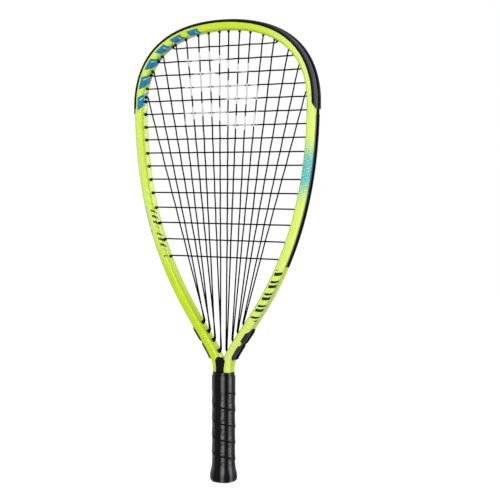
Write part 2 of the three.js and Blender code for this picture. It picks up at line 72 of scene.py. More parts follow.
# Shares of the way between the first and the last pair of holes in the throat.
THROAT_HOLE_SHARES = (0, 0.32, 0.62, 1)
# How one string makes the mains of a side: place from the middle, and lane in the throat.
MAIN_ORDER = ((8, 1), (6, 1), (7, -1), (5, -1), (4, 1), (2, 1), (3, -1), (1, -1))
BUMPER_CROSSES = 6
# Share of the way down a throat piece, half width in metres, and share of its full thickness.
LOBE_ROWS = (
    (0, 0.0035, 0.5), (0.16, 0.0079, 1), (0.42, 0.0079, 1), (0.46, 0.0048, 0.6),
    (0.52, 0.0048, 0.6), (0.57, 0.0074, 1), (0.93, 0.0074, 1), (1, 0.006, 0.6),
)

# Radii of small rounded edges.
KEY_EDGE = 0.3 * MM
LIP_EDGE = 0.2 * MM
RIM_EDGE = 0.25 * MM
LOBE_EDGE = 0.6 * MM
TONGUE_EDGE = 0.4 * MM
COLLAR_EDGE = 0.35 * MM
CAP_RIM = 0.3 * MM
STRING_CORNER = 0.9 * MM

# A side strip's lip: its foot above the tube's face, and its thickness.
LIP_FOOT = 0.05 * MM
LIP_RISE = 0.35 * MM
# How far the tips of the bumper's wings reach past the part in the groove.
WING_TIP = 1.2 * MM
# A grommet's tip as a share of its diameter, and its bore's depth as a share of its length.
GROMMET_TAPER = 0.86
GROMMET_DEPTH = 0.8
# Length of leg that is cut out of the bridge.
LEG_ROOM = 0.045
STRING_SPARE = 0.02 * MM
CHANNEL_STEP = 4 * MM
# Sharpest turn of a string that stays a plain corner.
PLAIN_TURN = math.radians(12)
HANDLE_GAP = 0.3 * MM
# How far below the top of the grip the tape's first turn starts, in turns.
TAPE_PHASE = 0.53
FLAT_STEP, LONG_STEP = 5 * MM, 1.2 * MM
CORD_HOLE_DEPTH = 7.2 * MM


def length(name, description, default):
    return FloatProperty(
        name=name, description=description, default=default, precision=4, unit="LENGTH"
    )


def share(name, description, default):
    return FloatProperty(
        name=name, description=description, default=default, min=0, max=1, subtype="FACTOR"
    )


def power(name, description, default):
    return FloatProperty(name=name, description=description, default=default, min=0, unit="POWER")


def angle(name, description, default):
    return FloatProperty(name=name, description=description, default=default, unit="ROTATION")


def colour(name, description, default):
    return FloatVectorProperty(
        name=name, description=description, default=[linear(c) for c in default],
        min=0, max=1, subtype="COLOR",
    )


def linear(value):
    """A screen colour value from 0 to 255 as linear light."""
    value /= 255
    return value / 12.92 if value <= 0.04045 else ((value + 0.055) / 1.055) ** 2.4


class TubeSizes(bpy.types.PropertyGroup):
    """Course and section of the tube."""

    head_top: length("Head Top", "Height of the centre line at the top of the head", 0.5518)
    half_width: length("Half Width", "Centre line to middle at the widest point", 0.123)
    widest_height: length("Widest Height", "Height of the widest point", 0.4578)
    neck_height: length("Neck Height", "Height where the two legs run straight", 0.1402)
    neck_x: length("Neck Offset", "Centre line of a leg to the middle at the neck", 0.0065)
    end_height: length("End Height", "Height where the full tube ends above the collar", 0.135)
    top_reach: share("Top Reach", "Reach of the curve along the top", 0.949)
    shoulder_reach: share("Shoulder Reach", "Reach of the curve above the widest point", 0.248)
    side_reach: share("Side Reach", "Reach of the curve below the widest point", 0.669)
    neck_reach: share("Neck Reach", "Reach of the curve above the neck", 0.115)
    width: length("Tube Width", "Width of the tube in the plane of the strings", 0.012)
    depth: length("Tube Depth", "Depth of the tube from front to back", 0.016)
    corner: length("Corner Radius", "Radius of the tube's long edges", 0.004)
    groove_width: length("Groove Width", "Width of the stringing groove", 0.0066)
    groove_depth: length("Groove Depth", "Depth of the stringing groove", 0.0036)
    slice: length("Slice", "Length of one facet along the tube", 0.004)


class GuardSizes(bpy.types.PropertyGroup):
    """Bumper guard, grommet strips and throat pieces."""

    gap: length("Gap", "Gap between pieces that sit together", 0.0003)
    base: length("Base", "Thickness of a strip under its channel", 0.0011)
    lip: length("Lip", "Half width of a side strip's lip on the tube", 0.0043)
    sink: length("Sink", "Depth of a strip below the tube's face", -0.0002)
    channel: length("Channel Width", "Width of the channel for the strings", 0.0044)
    strip_end: length("Strip End", "Length of a side strip past its last hole", 0.0024)
    bumper_end: length("Bumper End", "Length of the bumper past its last hole", 0.005)
    throat_end: length("Throat End", "Length of a throat piece past its holes", 0.004)
    bumper_width: length("Bumper Width", "Width of the bumper over its wings", 0.0166)
    bumper_wall: length("Bumper Wall", "Thickness of the bumper over the tube", 0.0009)
    bumper_wrap: length("Bumper Wrap", "Level that the wings reach at the top", 0.0035)
    bumper_spread: length("Bumper Spread", "How much deeper the wings reach at their ends", 0.0016)
    bumper_taper: length("Bumper Taper", "Length of the slanted ends of the wings", 0.0135)
    bumper_tip: length("Bumper Tip", "Length of the slanted end on the outer face", 0.0055)
    lobe_wall: length("Lobe Wall", "Thickness of a throat piece over the tube", 0.0014)
    lobe_wrap: length("Lobe Wrap", "Level that the lobes reach down to", 0.0036)
    eyelet: length("Grommet Diameter", "Outer diameter of a grommet", 0.0038)
    bore: length("Grommet Bore", "Bore of a grommet", 0.0027)
    wide_eyelet: length("Throat Grommet Diameter", "Outer diameter of a throat grommet", 0.005)
    wide_bore: length("Throat Grommet Bore", "Bore of a throat grommet", 0.0039)
    eyelet_rise: length("Grommet Rise", "Height of a grommet inside the head", 0.0022)
    throat_top: length("Throat Hole Top", "Height of the highest hole in the throat", 0.1932)
    throat_bottom: length("Throat Hole Bottom", "Height of the lowest hole there", 0.1596)


class StringSizes(bpy.types.PropertyGroup):
    """The two strings of the bed."""

    diameter: length("Diameter", "Diameter of a string", 0.00175)
    main_lift: length("Main Lift", "Distance of a main from the bed's plane", 0.00025)
    cross_lift: length("Cross Lift", "Distance of a cross from the bed's plane", 0.00155)
    cross_top: length("First Cross", "Height of the first cross string", 0.5278)
    cross_bottom: length("Last Cross", "Height of the last cross string", 0.2739)
    tail: length("Tail", "Length of a string's end past its last hole", 0.006)
    steps: IntProperty(
        name="Weave Steps", description="Steps between two crossings", default=4, min=2
    )
    sides: IntProperty(
        name="Roundness", description="Extra sides round a string", default=2, min=0
    )


class HandleSizes(bpy.types.PropertyGroup):
    """Bridge, collar, grip and butt cap."""

    width: length("Grip Width", "Width of the grip", 0.0275)
    depth: length("Grip Depth", "Depth of the grip from front to back", 0.0262)
    bevel: length("Grip Bevel", "Size of the grip's bevels", 0.007)
    edge: length("Grip Edge", "Radius of the grip's long edges", 0.006)
    grip_top: length("Grip Top", "Height of the top of the grip", 0.1105)
    pitch: length("Tape Pitch", "Rise of the tape in one turn", 0.0198)
    overlap: length("Tape Overlap", "Width of tape that the next turn covers", 0.0025)
    tape: length("Tape Thickness", "Thickness of the tape", 0.0008)
    step: length("Tape Step", "Depth of the step at the tape's seam", 0.0006)
    collar_top: length("Collar Top", "Height of the top of the collar", 0.1347)
    collar_step: length("Collar Step", "Height of the narrow band of the collar", 0.0042)
    collar_inset: length("Collar Inset", "How far the band is set in", 0.001)
    cap_height: length("Cap Height", "Height of the butt cap", 0.023)
    cap_widest: length("Cap Widest", "Height where the cap starts to narrow upwards", 0.007)
    cap_flare: length("Cap Flare", "How far the cap stands out from the grip", 0.0022)
    cap_edge: length("Cap Edge", "Rounding of the cap's bottom", 0.0052)
    cord_hole: length("Cord Hole", "Diameter of the hole for a wrist cord", 0.007)
    tongue_width: length("Tongue Width", "Width of the bridge's tongues", 0.0106)
    tongue_top: length("Tongue Top", "Height of the top of the tongues", 0.1536)
    tongue_corner: length("Tongue Corner", "Radius of the tongues' upper corners", 0.003)
    web_top: length("Web Top", "Height of the top of the web between the legs", 0.1501)
    web_reach: length("Web Reach", "Half width of the web's lips at their top", 0.007)
    web_foot: length("Web Foot", "Half width of the web's lips at their foot", 0.0044)
    web_lip: length("Web Lip", "Thickness of the lips over the legs", 0.0004)
    tongue_plate: length("Tongue Plate", "Thickness of a tongue", 0.0012)


class Finishes(bpy.types.PropertyGroup):
    """Colours of the finishes."""

    lime: colour("Lime", "Lacquer of the tube", (200, 226, 34))
    lime_shade: colour("Deep Lime", "Lacquer where it lies thicker", (188, 215, 22))
    # Painted sheen: a paler lime on the front faces, in place of the key lamp's sheen.
    pale_lime: colour("Pale Lime", "Front face of the tube along both sides", (214, 238, 112))
    # Painted shade: a darker lime on the inner and outer sides of the tube, where less light falls.
    flank_lime: colour("Flank Lime", "Inner and outer sides of the tube", (160, 184, 36))
    blue: colour("Blue", "Blocks on the upper left of the head", (0, 118, 162))
    cyan: colour("Cyan", "Dots on both sides of the head", (20, 172, 196))
    navy: colour("Navy", "Bars on the lower right of the head", (0, 8, 30))
    ink: colour("Ink", "Ink on the strings", (205, 206, 208))
    black_plastic: colour("Black Plastic", "Guard, strips and bridge", (14, 12, 17))
    # Painted sheen: grey on the front wings of the bumper and the throat pieces, in place of a
    # reflection of the lamps.
    scuffed_plastic: colour("Scuffed Plastic", "Guard where it stands proud", (72, 71, 75))
    string_black: colour("String Black", "Strings", (3, 3, 4))
    tape_black: colour("Tape Black", "Grip tape", (12, 12, 13))
    # Painted highlight: pale grey on the handle's long edges, in place of the lamps' highlights.
    tape_worn: colour("Worn Tape", "Grip tape on its polished edges", (104, 104, 108))
    rubber_black: colour("Rubber Black", "Collar and cap", (10, 10, 12))
    foam: colour("Foam", "Pallet", (58, 58, 60))


class StageSettings(bpy.types.PropertyGroup):
    """Camera and lamps."""

    distance: length("Distance", "Camera to the upright axis of the racket", 1.595)
    height: length("Height", "Height of the camera", 0.3697)
    azimuth: angle("Azimuth", "Camera to the right of the front", math.radians(33))
    turn: angle("Turn", "Camera turned left of the axis", -0.01986)
    dip: angle("Dip", "Camera turned down", 0.05444)
    roll: angle("Roll", "Camera rolled", 0.00186)
    lens: FloatProperty(
        name="Lens", description="Focal length in millimetres", default=95.1, unit="CAMERA"
    )
    sky: share("Sky", "Strength of the light from all round", 0.33)
    front: power("Front", "Power of the tall front lamp", 7.5)
    right: power("Right", "Power of the tall right lamp", 8)
    left: power("Left", "Power of the wide left lamp", 4)
    key: power("Key", "Power of the wide key lamp", 26)
    rear: power("Rear", "Power of the rear lamp", 12)


# Modelling helpers.


def only(piece):
    """Selects one piece and makes it the active one."""
    bpy.ops.object.select_all(action="DESELECT")
    piece.select_set(True)
    bpy.context.view_layer.objects.active = piece


def settle():
    """Puts the selected piece's place, turn and size into its mesh."""
    bpy.ops.object.transform_apply(location=True, rotation=True, scale=True)


def added(add, **settings):
    """A new primitive, selected alone and settled."""
    bpy.ops.object.select_all(action="DESELECT")
    add(**settings)
    settle()
    return bpy.context.object


@contextmanager
def edit_mode(piece):
    only(piece)
    bpy.ops.object.mode_set(mode="EDIT")
    yield
    bpy.ops.object.mode_set(mode="OBJECT")


def modify(piece, kind, **settings):
    """Adds a modifier to a piece and applies it."""
    only(piece)
    bpy.ops.object.modifier_add(type=kind)
    modifier = piece.modifiers[-1]
    for key, value in settings.items():
        setattr(modifier, key, value)
    bpy.ops.object.modifier_apply(modifier=modifier.name)


def pick(piece, kind, wanted):
    """Selects the edges or faces that a test wants, in edit mode."""
    bpy.ops.mesh.select_mode(type=kind)
    bpy.ops.mesh.select_all(action="DESELECT")
    mesh = bmesh.from_edit_mesh(piece.data)
    for part in mesh.edges if kind == "EDGE" else mesh.faces:
        if wanted(part):
            part.select_set(True)
    bmesh.update_edit_mesh(piece.data)


def runs_along(axis):
    """A test for edges that lie along an axis."""

    def test(edge):
        way = edge.verts[1].co - edge.verts[0].co
        return abs(way[axis]) > 0.999 * way.length

    return test


def block(name, low, high):
    """A box between two corners."""
    low, high = Vector(low), Vector(high)
    add = bpy.ops.mesh.primitive_cube_add
    piece = added(add, size=1, location=(low + high) / 2, scale=high - low)
    piece.name = name
    return piece


def round_edges(piece, radius, segments, wanted):
    with edit_mode(piece):
        pick(piece, "EDGE", wanted)
        bpy.ops.mesh.bevel(
            offset=radius, segments=segments, affect="EDGES", clamp_overlap=False
        )


def solve(piece, other, operation):
    """Joins another closed piece to this one or cuts it away, and uses it up."""
    modify(piece, "BOOLEAN", operation=operation, solver="EXACT", object=other)
    bpy.data.objects.remove(other)


def soften(piece, radius, segments):
    """Rounds every sharp edge a little."""
    limit = math.radians(60)
    modify(
        piece, "BEVEL", width=radius, segments=segments, limit_method="ANGLE", angle_limit=limit
    )


def cut(at, way, **settings):
    """Cuts the piece that is in edit mode along a plane."""
    bpy.ops.mesh.select_all(action="SELECT")
    bpy.ops.mesh.bisect(plane_co=at, plane_no=way, **settings)


def slice_along(piece, axis, low, high, step):
    """Cuts a piece into even slices, so that it can bend."""
    count = max(1, math.ceil((high - low) / step))
    way = Vector([float(i == axis) for i in range(3)])
    with edit_mode(piece):
        for i in range(1, count):
            cut(way * (low + (high - low) * i / count), way)


def trim(piece, at, outwards):
    """Cuts off what lies beyond a plane and closes the cut."""
    with edit_mode(piece):
        way = Vector(outwards).normalized()
        cut(at, way, clear_outer=True, use_fill=True, threshold=TOUCH)


def joined(pieces, name):
    bpy.ops.object.select_all(action="DESELECT")
    for piece in pieces:
        piece.select_set(True)
    bpy.context.view_layer.objects.active = pieces[0]
    bpy.ops.object.join()
    pieces[0].name = name
    return pieces[0]


def copies(piece, runs):
    """Copies of a piece, each with its own mesh, moved to runs. The pattern piece is used up."""
    made = []
    for run in runs:
        only(piece)
        bpy.ops.object.duplicate(linked=False)
        copy = bpy.context.object
        copy.location.x = run
        settle()
        made.append(copy)
    bpy.data.objects.remove(piece)
    return made


def note_straight_form(piece):
    """Keeps where each point lay in the straight form, for patterns that follow the tube."""
    points = piece.data.attributes.new("straight", "FLOAT_VECTOR", "POINT")
    for vertex, kept in zip(piece.data.vertices, points.data):
        kept.vector = vertex.co


def new_curve(name, dimensions):
    curve = added(bpy.ops.curve.primitive_bezier_curve_add)
    curve.name = name
    curve.data.dimensions = dimensions
    return curve


def drawn_curve(name, points):
    """An open curve of straight steps through points."""
    curve = new_curve(name, "3D")
    curve.data.splines.clear()
    spline = curve.data.splines.new("POLY")
    spline.points.add(len(points) - 1)
    for point, place in zip(spline.points, points):
        point.co = (*place, 1)
    return curve


def bend_along(piece, path):
    """Bends a piece that lies along X round a path, and uses the path up."""
    modify(piece, "CURVE", object=path, deform_axis="POS_X")
    bpy.data.objects.remove(path)


def finish_piece(piece, material, node, smooth=35, weighted=True):
    """Shades a piece, gives it its material and ties it to the frame."""
    with edit_mode(piece):
        bpy.ops.mesh.select_all(action="SELECT")
        bpy.ops.mesh.remove_doubles(threshold=2 * TOUCH)
        bpy.ops.mesh.normals_make_consistent(inside=False)
    bpy.ops.object.shade_smooth_by_angle(angle=math.radians(smooth))
    if weighted:
        modify(piece, "WEIGHTED_NORMAL", keep_sharp=True)
    piece.data.name = piece.name
    piece.data.materials.clear()
    piece.data.materials.append(material)
    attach(piece, "root")
    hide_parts(node)


# The course of the tube.


class TubeLine:
    """Places along the centre line of the tube, by the run from the top of the head."""

    def __init__(self, tube):
        top, widest, neck = tube.head_top, tube.widest_height, tube.neck_height
        shoulder, side = top - widest, widest - neck
        half, neck_x = tube.half_width, tube.neck_x
        shoulder_handle = (half, widest + shoulder * tube.shoulder_reach)
        side_handle = (half, widest - side * tube.side_reach)
        neck_handle = (neck_x, neck + side * tube.neck_reach)
        self.bends = [
            [Vector(point) for point in bend]
            for bend in (
                ((0, top), (half * tube.top_reach, top), shoulder_handle, (half, widest)),
                ((half, widest), side_handle, neck_handle, (neck_x, neck)),
            )
        ]
        points = interpolate_bezier(*self.bends[0], 400)
        widest_at = len(points) - 1
        points += interpolate_bezier(*self.bends[1], 800)[1:]
        points.append(Vector((neck_x, tube.end_height)))
        self.points = points
        self.runs = [0.0]
        for a, b in zip(points, points[1:]):
            self.runs.append(self.runs[-1] + (b - a).length)
        self.shoulder_run = self.runs[widest_at]
        self.half = self.runs[-1]

    def place(self, run):
        """Point on the centre line, and the direction outwards there."""
        wanted = min(abs(run), self.half - 1e-9)
        low, high = 0, len(self.runs) - 1
        while high - low > 1:
            middle = (low + high) // 2
            if self.runs[middle] <= wanted:
                low = middle
            else:
                high = middle
        a, b = self.points[low], self.points[high]
        point = a.lerp(b, (wanted - self.runs[low]) / (self.runs[high] - self.runs[low]))
        along = (b - a).normalized()
        hand = -1 if run < 0 else 1
        return Vector((hand * point.x, 0, point.y)), Vector((-hand * along.y, 0, along.x))

    def spot(self, run, level, back):
        """Point beside the centre line: outwards by a level, and towards the back."""
        origin, outward = self.place(run)
        return origin + outward * level + Vector((0, back, 0))

    def run_at_height(self, height, level):
        above, below = 0.0, self.half
        while below - above > 0.1 * TOUCH:
            middle = (above + below) / 2
            if self.spot(middle, level, 0).z > height:
                above = middle
            else:
                below = middle
        return (above + below) / 2


class Layout:
    """Levels, runs and holes that the pieces share."""

    def __init__(self, scene):
        tube, guard, strings = scene.racket_tube, scene.racket_guard, scene.racket_strings
        self.line = line = TubeLine(tube)
        self.face = tube.width / 2
        self.base = self.face - tube.groove_depth + guard.gap
        self.channel_floor = self.base + guard.base
        self.lane = self.channel_floor + guard.gap + strings.diameter / 2
        self.seat = self.face + guard.gap
        self.rim = -self.face - guard.eyelet_rise
        self.mouth = self.rim - guard.gap - strings.diameter / 2
        self.key = tube.groove_width / 2 - guard.gap

        drop = strings.cross_bottom - strings.cross_top
        self.cross_heights = [strings.cross_top + drop * s for s in CROSS_SHARES]
        self.cross_runs = [line.run_at_height(h, self.mouth) for h in self.cross_heights]
        self.main_runs = [line.shoulder_run * s for s in MAIN_TOP_SHARES]
        drop = guard.throat_bottom - guard.throat_top
        heights = [guard.throat_top + drop * s for s in THROAT_HOLE_SHARES]
        self.throat_runs = [line.run_at_height(h, -self.face) for h in heights]
        self.bumper_run = self.cross_runs[BUMPER_CROSSES - 1] + guard.bumper_end
        self.strip_run = self.cross_runs[-1] + guard.strip_end
        self.throat_start = self.throat_runs[0] - guard.throat_end
        self.throat_end = self.throat_runs[-1] + guard.throat_end

    def singles(self, low, high):
        """Holes for one string each between two runs."""
        runs = self.main_runs + self.cross_runs
        return [run for run in runs + [-run for run in runs] if low < run < high]


def bend_path(tube):
    """The Bezier path that bends a straight piece, flat, for a racket on its back."""

    def mirrored(place):
        return Vector((-place.x, place.y))

    top_bend, side_bend = TubeLine(tube).bends
    neck, end = side_bend[3], Vector((tube.neck_x, tube.end_height))
    tail = Vector((0, (tube.neck_height - tube.end_height) / 3))
    # Each knot's place, the handle before it and the handle after it.
    right = [
        (side_bend[0], top_bend[2], side_bend[1]),
        (neck, side_bend[2], neck - tail),
        (end, end + tail, end - tail),
    ]
    left = [[mirrored(part) for part in (knot[0], knot[2], knot[1])] for knot in reversed(right)]
    knots = left + [(top_bend[0], mirrored(top_bend[1]), top_bend[1])] + right
    path = new_curve("bend_path", "2D")
    path.data.fill_mode = "NONE"
    path.data.resolution_u = 96
    spline = path.data.splines[0]
    spline.bezier_points.add(len(knots) - 2)
    for point, (place, before, after) in zip(spline.bezier_points, knots):
        point.handle_left_type = point.handle_right_type = "FREE"
        point.co = place.to_3d()
        point.handle_left = before.to_3d()
        point.handle_right = after.to_3d()
    return path


def bend_round_head(tube, piece):
    """Bends a straight piece round the head and stands it up."""
    path = bend_path(tube)
    only(piece)
    piece.location.x = path.data.splines[0].calc_length() / 2
    settle()
    bend_along(piece, path)
    piece.rotation_euler.x = math.pi / 2
    settle()


def tube_bar(name, tube, low, high, grow=0.0):
    """A straight length of the tube, grown on all sides if asked."""
    half_width = tube.width / 2 + grow
    half_depth = tube.depth / 2 + grow
    bar = block(name, (low, -half_width, -half_depth), (high, half_width, half_depth))
    round_edges(bar, tube.corner + grow, 6, runs_along(0))
    return bar


def drill(radius, bottom, top):
    """A rod across the straight tube at run 0."""
    return added(
        bpy.ops.mesh.primitive_cylinder_add, vertices=16, radius=radius, depth=top - bottom,
        location=(0, (top + bottom) / 2, 0), rotation=(math.pi / 2, 0, 0),
    )


def eyelet(layout, gap, diameter, bore):
    """One grommet at run 0: a slightly tapered barrel with a rounded rim and its bore."""
    top, bottom = layout.channel_floor - gap, layout.rim
    tip = diameter / 2 * GROMMET_TAPER
    piece = added(
        bpy.ops.mesh.primitive_cone_add, vertices=16, radius1=tip, radius2=diameter / 2,
        depth=top - bottom, location=(0, (top + bottom) / 2, 0), rotation=(-math.pi / 2, 0, 0),
    )
    inwards = (0, (top - bottom) * GROMMET_DEPTH, 0)
    with edit_mode(piece):
        pick(piece, "FACE", lambda face: face.normal.y < -0.9)
        bpy.ops.mesh.inset(thickness=tip - bore / 2)
        bpy.ops.mesh.extrude_region_move(TRANSFORM_OT_translate={"value": inwards})
    rim = bottom + TOUCH
    round_edges(piece, RIM_EDGE, 2, lambda e: lies_on(e, rim) and abs(e.calc_face_angle(0)) > 0.5)
    return piece


def lies_on(edge, rim):
    return all(vertex.co.y < rim for vertex in edge.verts)


class RACKET_OT_tube(bpy.types.Operator):
    """Model the lacquered tube with its stringing groove and drilled holes"""

    bl_idname = "racket.tube"
    bl_label = "Tube"

    def execute(self, context):
        scene = context.scene
        tube, guard = scene.racket_tube, scene.racket_guard
        layout = Layout(scene)
        half, through = layout.line.half, 2 * layout.face
        piece = tube_bar("tube", tube, -half, half)
        floor, reach = layout.face - tube.groove_depth, tube.groove_width / 2
        strips = layout.strip_run + guard.gap
        start, end = layout.throat_start - guard.gap, layout.throat_end + guard.gap
        for low, high in ((-strips, strips), (start, end), (-end, -start)):
            groove = block("groove", (low, floor, -reach), (high, through, reach))
            solve(piece, groove, "DIFFERENCE")
        pairs = [hand * run for run in layout.throat_runs for hand in (1, -1)]
        rods = []
        for runs, diameter in (
            (layout.singles(-half, half), guard.eyelet),
            (pairs, guard.wide_eyelet),
        ):
            rods += copies(drill(diameter / 2 + guard.gap, -through, through), runs)
        solve(piece, joined(rods, "drills"), "DIFFERENCE")
        slice_along(piece, 0, -half, half, tube.slice)
        note_straight_form(piece)
        bend_round_head(tube, piece)
        finish_piece(piece, lacquer(scene), "frame")
        return {"FINISHED"}


def key_bar(layout, guard, low, high):
    """The part of a strip that sits in the groove."""
    top = layout.face - guard.sink
    bar = block("key", (low, layout.base, -layout.key), (high, top, layout.key))
    floor, lengthwise = layout.channel_floor, runs_along(0)
    round_edges(bar, KEY_EDGE, 2, lambda e: lengthwise(e) and e.verts[0].co.y > floor)
    return bar


def finish_strip(name, node, scene, layout, bar, low, high, runs, wide=False):
    """Cuts the channel and the bores, adds the grommets, and bends the strip round the head."""
    guard = scene.racket_guard
    diameter, bore = guard.eyelet, guard.bore
    if wide:
        diameter, bore = guard.wide_eyelet, guard.wide_bore
    reach, past = guard.channel / 2, guard.bumper_end
    corners = (low - past, layout.channel_floor, -reach), (high + past, 3 * layout.face, reach)
    solve(bar, block("channel", *corners), "DIFFERENCE")
    bores = joined(copies(drill(bore / 2, 0, 2 * layout.face), runs), "bores")
    solve(bar, bores, "DIFFERENCE")
    eyelets = copies(eyelet(layout, guard.gap, diameter, bore), runs)
    slice_along(bar, 0, low, high, scene.racket_tube.slice)
    piece = joined([bar] + eyelets, name)
    note_straight_form(piece)
    bend_round_head(scene.racket_tube, piece)
    finish_piece(piece, moulded_plastic(scene), node)


class RACKET_OT_bumper(bpy.types.Operator):
    """Model the bumper guard with its wings, channel and grommets"""

    bl_idname = "racket.bumper"
    bl_label = "Bumper Guard"

    def execute(self, context):
        scene = context.scene
        tube, guard = scene.racket_tube, scene.racket_guard
        layout = Layout(scene)
        end = layout.bumper_run - guard.gap / 2
        far = 2 * end
        wing = guard.bumper_width / 2
        bar = tube_bar("wings", tube, -end, end, guard.gap + guard.bumper_wall)
        room = block("room", (-far, -2 * wing, -2 * wing), (far, guard.bumper_wrap, 2 * wing))
        with edit_mode(room):
            cut((0, 0, 0), (1, 0, 0))
        for vertex in room.data.vertices:
            if vertex.co.y > 0:
                vertex.co.y -= guard.bumper_spread * abs(vertex.co.x) / end
        solve(bar, room, "DIFFERENCE")
        for side in (1, -1):
            low, high = sorted((side * wing, side * 2 * wing))
            room = block("room", (-far, -2 * wing, low), (far, 2 * wing, high))
            solve(bar, room, "DIFFERENCE")
        solve(bar, tube_bar("tube_room", tube, -far, far, guard.gap), "DIFFERENCE")
        self.slant_ends(bar, guard, layout, end, wing)
        solve(bar, key_bar(layout, guard, -end, end), "UNION")
        runs = layout.singles(-end, end)
        finish_strip("bumper", "bumper_guard", scene, layout, bar, -end, end, runs)
        return {"FINISHED"}

    @staticmethod
    def slant_ends(bar, guard, layout, end, wing):
        """Trims both ends to a slant on the outer face and on the wings."""
        narrow = layout.key + WING_TIP
        low = guard.bumper_wrap - guard.bumper_spread
        rise = layout.seat + guard.bumper_wall - low
        for hand in (1, -1):
            slant = (hand * rise, guard.bumper_tip - guard.bumper_taper, 0)
            trim(bar, (hand * (end - guard.bumper_tip), low + rise, 0), slant)
            for side in (1, -1):
                slant = (hand * (wing - narrow), 0, side * guard.bumper_tip)
                trim(bar, (hand * end, 0, side * narrow), slant)


class RACKET_OT_side_strips(bpy.types.Operator):
    """Model the grommet strips on both sides of the head"""

    bl_idname = "racket.side_strips"
    bl_label = "Side Strips"

    def execute(self, context):
        scene = context.scene
        guard = scene.racket_guard
        layout = Layout(scene)
        start, end = layout.bumper_run + guard.gap / 2, layout.strip_run
        reach, bed = guard.lip, layout.face + LIP_FOOT
        above, lengthwise = bed + 0.1 * MM, runs_along(0)
        for name, low, high in (("right", start, end), ("left", -end, -start)):
            bar = key_bar(layout, guard, low, high)
            lip = block("lip", (low, bed, -reach), (high, bed + LIP_RISE, reach))
            round_edges(lip, LIP_EDGE, 2, lambda e: lengthwise(e) and e.verts[0].co.y > above)
            solve(bar, lip, "UNION")
            finish_strip(
                "side_strip_" + name, "grommet_strip_" + name,
                scene, layout, bar, low, high, layout.singles(low, high),
            )
        return {"FINISHED"}


class RACKET_OT_throat_pieces(bpy.types.Operator):
    """Model the throat pieces, each with two lobes and a waist"""

    bl_idname = "racket.throat_pieces"
    bl_label = "Throat Pieces"

    def execute(self, context):
        scene = context.scene
        tube, guard = scene.racket_tube, scene.racket_guard
        layout = Layout(scene)
        start, end = layout.throat_start, layout.throat_end
        for name, hand in (("right", 1), ("left", -1)):
            low, high = sorted((hand * start, hand * end))
            bar = key_bar(layout, guard, low, high)
            shell = tube_bar("shell", tube, low, high, guard.gap + guard.lobe_wall)
            lobes = self.lobes(layout, guard, hand * start, hand * (end - start))
            solve(shell, lobes, "INTERSECT")
            room = tube_bar("tube_room", tube, 2 * low - high, 2 * high - low, guard.gap)
            solve(shell, room, "DIFFERENCE")
            solve(bar, shell, "UNION")
            finish_strip(
                "throat_piece_" + name, "throat_grommet_" + name,
                scene, layout, bar, low, high, [hand * run for run in layout.throat_runs], True,
            )
        return {"FINISHED"}

    @staticmethod
    def lobes(layout, guard, start, span):
        """A thick plate that swells into two lobes, from its rows."""
        foot = guard.lobe_wrap
        low, high = sorted((start, start + span))
        plate = block("lobes", (low, foot, -MM), (high, 2 * foot, MM))
        with edit_mode(plate):
            for row in LOBE_ROWS[1:-1]:
                cut((start + span * row[0], 0, 0), (1, 0, 0))
        for vertex in plate.data.vertices:
            part = (vertex.co.x - start) / span
            _, half, rise = min(LOBE_ROWS, key=lambda row: abs(row[0] - part))
            vertex.co.z = math.copysign(half, vertex.co.z)
            if vertex.co.y > 1.5 * foot:
                vertex.co.y = layout.seat + rise * guard.lobe_wall
        outside = layout.seat + 0.4 * guard.lobe_wall

        def outer(edge):
            on_top = all(vertex.co.y > outside for vertex in edge.verts)
            return on_top and abs(edge.calc_face_angle(0)) > 0.9

        round_edges(plate, LOBE_EDGE, 3, outer)
        return plate


class RACKET_OT_bridge(bpy.types.Operator):
    """Model the bridge that fills the fork of the throat"""

    bl_idname = "racket.bridge"
    bl_label = "Throat Bridge"

    def execute(self, context):
        scene = context.scene
        tube, guard, handle = scene.racket_tube, scene.racket_guard, scene.racket_handle
        half = tube.depth / 2 + guard.gap
        bottom = tube.end_height
        web = self.web(scene, half + handle.web_lip, bottom)
        width = handle.tongue_width / 2
        top = handle.tongue_top - TOUCH
        upright = runs_along(1)
        tongues = []
        for side in (1, -1):
            outer = side * (half + handle.tongue_plate)
            low, high = sorted((side * half, outer))
            tongue = block("tongue", (-width, low, bottom), (width, high, handle.tongue_top))
            corners = lambda e: upright(e) and e.verts[0].co.z > top
            rim = lambda e: all(abs(vertex.co.y - outer) < TOUCH for vertex in e.verts)
            round_edges(tongue, handle.tongue_corner, 6, corners)
            round_edges(tongue, TONGUE_EDGE, 3, rim)
            tongues.append(tongue)
        piece = joined([web] + tongues, "bridge")
        finish_piece(piece, moulded_plastic(scene), "throat_bridge")
        return {"FINISHED"}

    @staticmethod
    def web(scene, face, bottom):
        """The wedge between the legs, with lips over them."""
        tube, guard, handle = scene.racket_tube, scene.racket_guard, scene.racket_handle
        reach, top = handle.web_reach, handle.web_top
        web = block("web", (-reach, -face, bottom), (reach, face, top))
        for vertex in web.data.vertices:
            if vertex.co.z < top - TOUCH:
                vertex.co.x *= handle.web_foot / reach
        half = TubeLine(tube).half
        for hand in (1, -1):
            low, high = sorted((hand * (half - LEG_ROOM), hand * half))
            leg = tube_bar("leg_room", tube, low, high, guard.gap)
            slice_along(leg, 0, low, high, tube.slice)
            bend_round_head(tube, leg)
            solve(web, leg, "DIFFERENCE")
        return web


# The strings.


